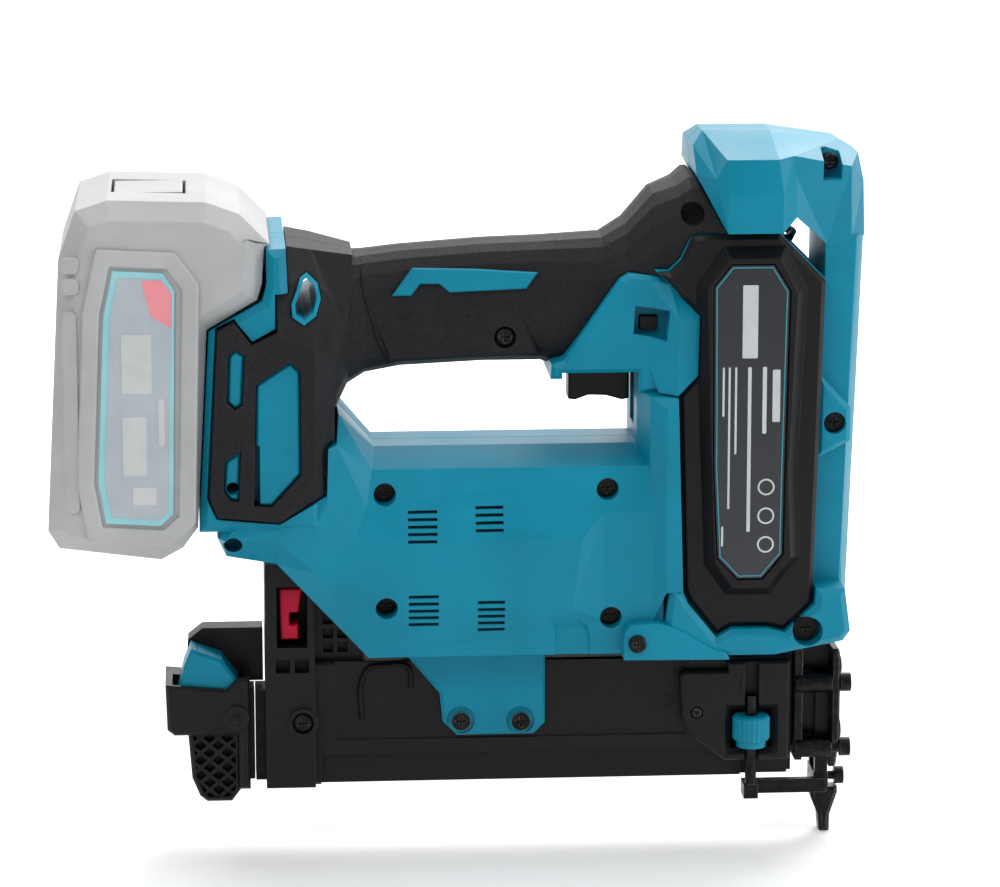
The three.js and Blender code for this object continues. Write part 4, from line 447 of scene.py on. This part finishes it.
def fasteners():
    small_cover = [
        (-74.3, 71.4), (-74, 81.3), (-72, 83.8), (-62, 84.3),
        (-55.9, 82.4), (-44.1, 75.2), (-39.3, 74), (-37.5, 71),
    ]
    both_sides("small_cover", [small_cover], COVER_FACE, -27.0, "teal_nylon", edge=0.8)
    screw_head("small_cover_screw", -69.5, 77.4, -COVER_FACE, 3.0)
    screw_head("small_cover_screw_left", -69.5, 77.4, -COVER_FACE, 3.0, side=1)
    screw_head("grip_screw", -113.6, 181.2, 15.3, 3.2)
    screw_head("magazine_screw", -183.3, 46.4, 14.2, 3.2)
    screw_head("bracket_screw", -46.8, 47.5, 14.2, 2.0)
    screw_head("cap_screw", -3.6, 240.4, 16.2, 2.9)


def plate_graphics():
    """Edge line, blank bars and rings where a rating plate has its print."""
    plate = [
        (-44.5, 200.5), (-38.5, 208), (-24, 208), (-18.5, 199), (-19.7, 137),
        (-20, 108), (-27, 99.5), (-35.5, 99.5), (-42.5, 107), (-44, 138),
    ]
    line = [inset(plate, 0.9), inset(plate, 1.25)]
    both_sides("plate_line", line, -34.16, PLATE_INK[1], "plate_film", look=TEAL_LINE)
    bars = [
        (-34.6, -29.4, 176.0, 201.0), (-27.6, -26.2, 150.0, 173.0), (-24.2, -21.6, 154.0, 172.0),
        (-32.6, -31.4, 116.0, 173.0), (-37.0, -36.3, 143.0, 173.0), (-39.2, -38.5, 124.0, 173.0),
        (-41.2, -40.5, 156.0, 173.0), (-41.2, -40.5, 111.0, 118.0),
    ]
    for n, bar in enumerate(bars):
        both_sides(f"plate_bar_{n + 1}", [rectangle(*bar, corner=0.25)], *PLATE_INK, "plate_film", look=INK)
    for n, z in enumerate((131.5, 121.5, 111.5)):
        loops = [circle(-26.0, z, 2.9), circle(-26.0, z, 2.3)]
        both_sides(f"plate_mark_{n + 1}", loops, *PLATE_INK, "plate_film", look=INK)


def magazine_trim():
    # ribs that narrow the gap between the nose plates and the front bracket, clear of the rising contact arm
    for n, x in enumerate((-13.6, -12.0)):
        outline = rectangle(x, x + 1.1, 32.6, 66.0, 0.3)
        prism(f"nose_rib_{n + 1}", [outline], -8.5, 8.5, "black_nylon", edge=0.2)
    hook = [(-162.8, 46), (-162.8, 60), (-160, 64.6), (-155, 65.4), (-147.5, 65.2), (-146, 63), (-146, 57)]
    wire("magazine_hook", [(x, MAGAZINE_FACE, z) for x, z in hook], 0.9, "black_steel")
    for n, z in enumerate((50.5, 61.5)):
        loops = [circle(-57, z, 2.6), circle(-57, z, 2.2)]
        prism(f"ejector_mark_{n + 1}", loops, -11.25, -11.0, "black_nylon")
    for n, x in enumerate((-31.5, -25.2)):
        outline = rectangle(x, x + 1.1, 54.5, 60.0, 0.3)
        prism(f"bracket_rib_{n + 1}", [outline], BRACKET_FACE - 0.25, BRACKET_FACE + 0.1, "black_nylon")


def grip_seam():
    line = [
        (-162.2, 207.5), (-162.3, 203), (-162.0, 199), (-160.4, 192.5),
        (-158.6, 186.5), (-157.2, 181), (-155.0, 175.5), (-153.0, 171.8),
    ]
    points = [on_surface("grip_right", x, z, 0.02) for x, z in line]
    wire("grip_seam", [p for p in points if p], 0.28, "grip_rubber", look=SEAM)


def battery_side():
    """Raised surround, blank slate field with a faded chip and bars, lugs and ridge of the battery."""
    label = [
        (-245.5, 209.5), (-228.4, 208.6), (-223.9, 202.5), (-226.0, 126.4),
        (-230.4, 122.4), (-249.1, 123.7), (-251.5, 137.4), (-248.8, 194.4),
    ]
    surround = [inset(label, -7), inset(label, -1.2)]
    both_sides("battery_bezel", surround, -41.0, CASE_FACE, "battery_grey", "battery", edge=0.9)
    both_sides("battery_panel", [inset(label, 2.3)], *FILM_FACE, "label_teal", "battery", look=PANEL_GREY)
    chip = [(-236, 206), (-229.5, 206.2), (-226, 201.5), (-226.4, 190), (-233, 194)]
    both_sides("battery_chip", [chip], *FILM_INK, "label_teal", "battery", look=RED_CHIP)
    bars = [(-243, -233, 168, 188), (-231, -229, 150, 166), (-243, -235, 140, 160), (-240, -232, 130, 136)]
    for n, bar in enumerate(bars):
        loops = [rectangle(*bar, corner=0.6)]
        both_sides(f"battery_bar_{n + 1}", loops, *FILM_INK, "label_teal", "battery", look=INK)
    for n, z in enumerate((214.0, 207.0)):
        lug = rectangle(-262.5, -256.5, z - 5.6, z, 1.2)
        both_sides(f"battery_lug_{n + 1}", [lug], -40.2, CASE_FACE, "battery_grey", "battery", edge=0.4)
    ridge = rectangle(-262.5, -257.5, 127.0, 196.0, 1.4)
    both_sides("battery_ridge", [ridge], -40.2, CASE_FACE, "battery_grey", "battery", edge=0.4)


fasteners()
plate_graphics()
magazine_trim()
grip_seam()
battery_side()

# ---------------------------------------------------------------- floor, light and camera

def stage_floor():
    mesh = bpy.data.meshes.new("floor")
    size, sweep, rise = 3.0, 2.3, 3.0
    profile = [(-size, 0.0), (sweep, 0.0)]
    for step in range(1, 13):
        turn = math.pi / 2 * step / 12
        profile.append((sweep + 0.6 * math.sin(turn), 0.6 - 0.6 * math.cos(turn)))
    profile.append((sweep + 0.6, rise))
    verts = [(side * size, y, z) for y, z in profile for side in (-1, 1)]
    faces = [(2 * i, 2 * i + 1, 2 * i + 3, 2 * i + 2) for i in range(len(profile) - 1)]
    mesh.from_pydata(verts, [], faces)
    for face in mesh.polygons:
        face.use_smooth = True
    obj = bpy.data.objects.new("floor", mesh)
    bpy.context.scene.collection.objects.link(obj)
    mat, tree, shader, place = material("pale_floor", 0.7)
    cloud = add(tree, "TexNoise", {"Vector": place}, Scale=2.0, Detail=2.0)
    paint = blend(tree, cloud.outputs["Fac"], linear("F1F1F0"), linear("F4F4F4"))
    tree.links.new(paint, shader.inputs["Base Color"])
    mesh.materials.append(mat)


def area_light(name, place, target, size, power, colour="FFFFFF"):
    data = bpy.data.lights.new(name, "AREA")
    data.shape = "RECTANGLE"
    data.size, data.size_y = size
    data.energy = power
    data.color = linear(colour)[:3]
    obj = bpy.data.objects.new(name, data)
    obj.location = place
    obj.rotation_euler = (Vector(target) - Vector(place)).to_track_quat("-Z", "Y").to_euler()
    bpy.context.scene.collection.objects.link(obj)


CENTRE = Vector((-0.11411, 0.0, 0.14066))
AZIMUTH, ELEVATION, DISTANCE = math.radians(-4.0), math.radians(12.0), 1.5


def make_camera():
    data = bpy.data.cameras.new("camera")
    data.lens, data.sensor_width = 156.5, 36.0
    data.clip_start, data.clip_end = 0.05, 20.0
    obj = bpy.data.objects.new("camera", data)
    back = Vector((
        math.sin(AZIMUTH) * math.cos(ELEVATION),
        -math.cos(AZIMUTH) * math.cos(ELEVATION),
        math.sin(ELEVATION),
    ))
    obj.location = CENTRE + back * DISTANCE
    obj.rotation_euler = (-back).to_track_quat("-Z", "Y").to_euler()
    bpy.context.scene.collection.objects.link(obj)
    bpy.context.scene.camera = obj


def make_light():
    world = bpy.data.worlds.new("studio")
    world.use_nodes = True
    sky = world.node_tree.nodes["Background"]
    sky.inputs["Color"].default_value = linear("F4F5F6")
    sky.inputs["Strength"].default_value = 0.42
    bpy.context.scene.world = world
    area_light("key", (-0.75, -1.1, 1.25), CENTRE, (0.9, 0.7), 10)
    area_light("fill", (1.1, -1.0, 0.55), CENTRE, (0.9, 0.9), 3)
    area_light("top", (-0.1, 0.1, 1.5), CENTRE, (1.2, 0.8), 11)
    area_light("rim", (0.5, 0.9, 0.9), CENTRE, (0.8, 0.5), 8)
    area_light("side", (1.1, -0.25, 0.35), CENTRE, (0.25, 0.9), 6)
    area_light("backdrop", (-0.1, 1.9, 1.5), (-0.1, 1.95, 0.0), (3.4, 1.6), 62)
    bpy.context.scene.view_settings.view_transform = "Standard"


stage_floor()
make_camera()
make_light()
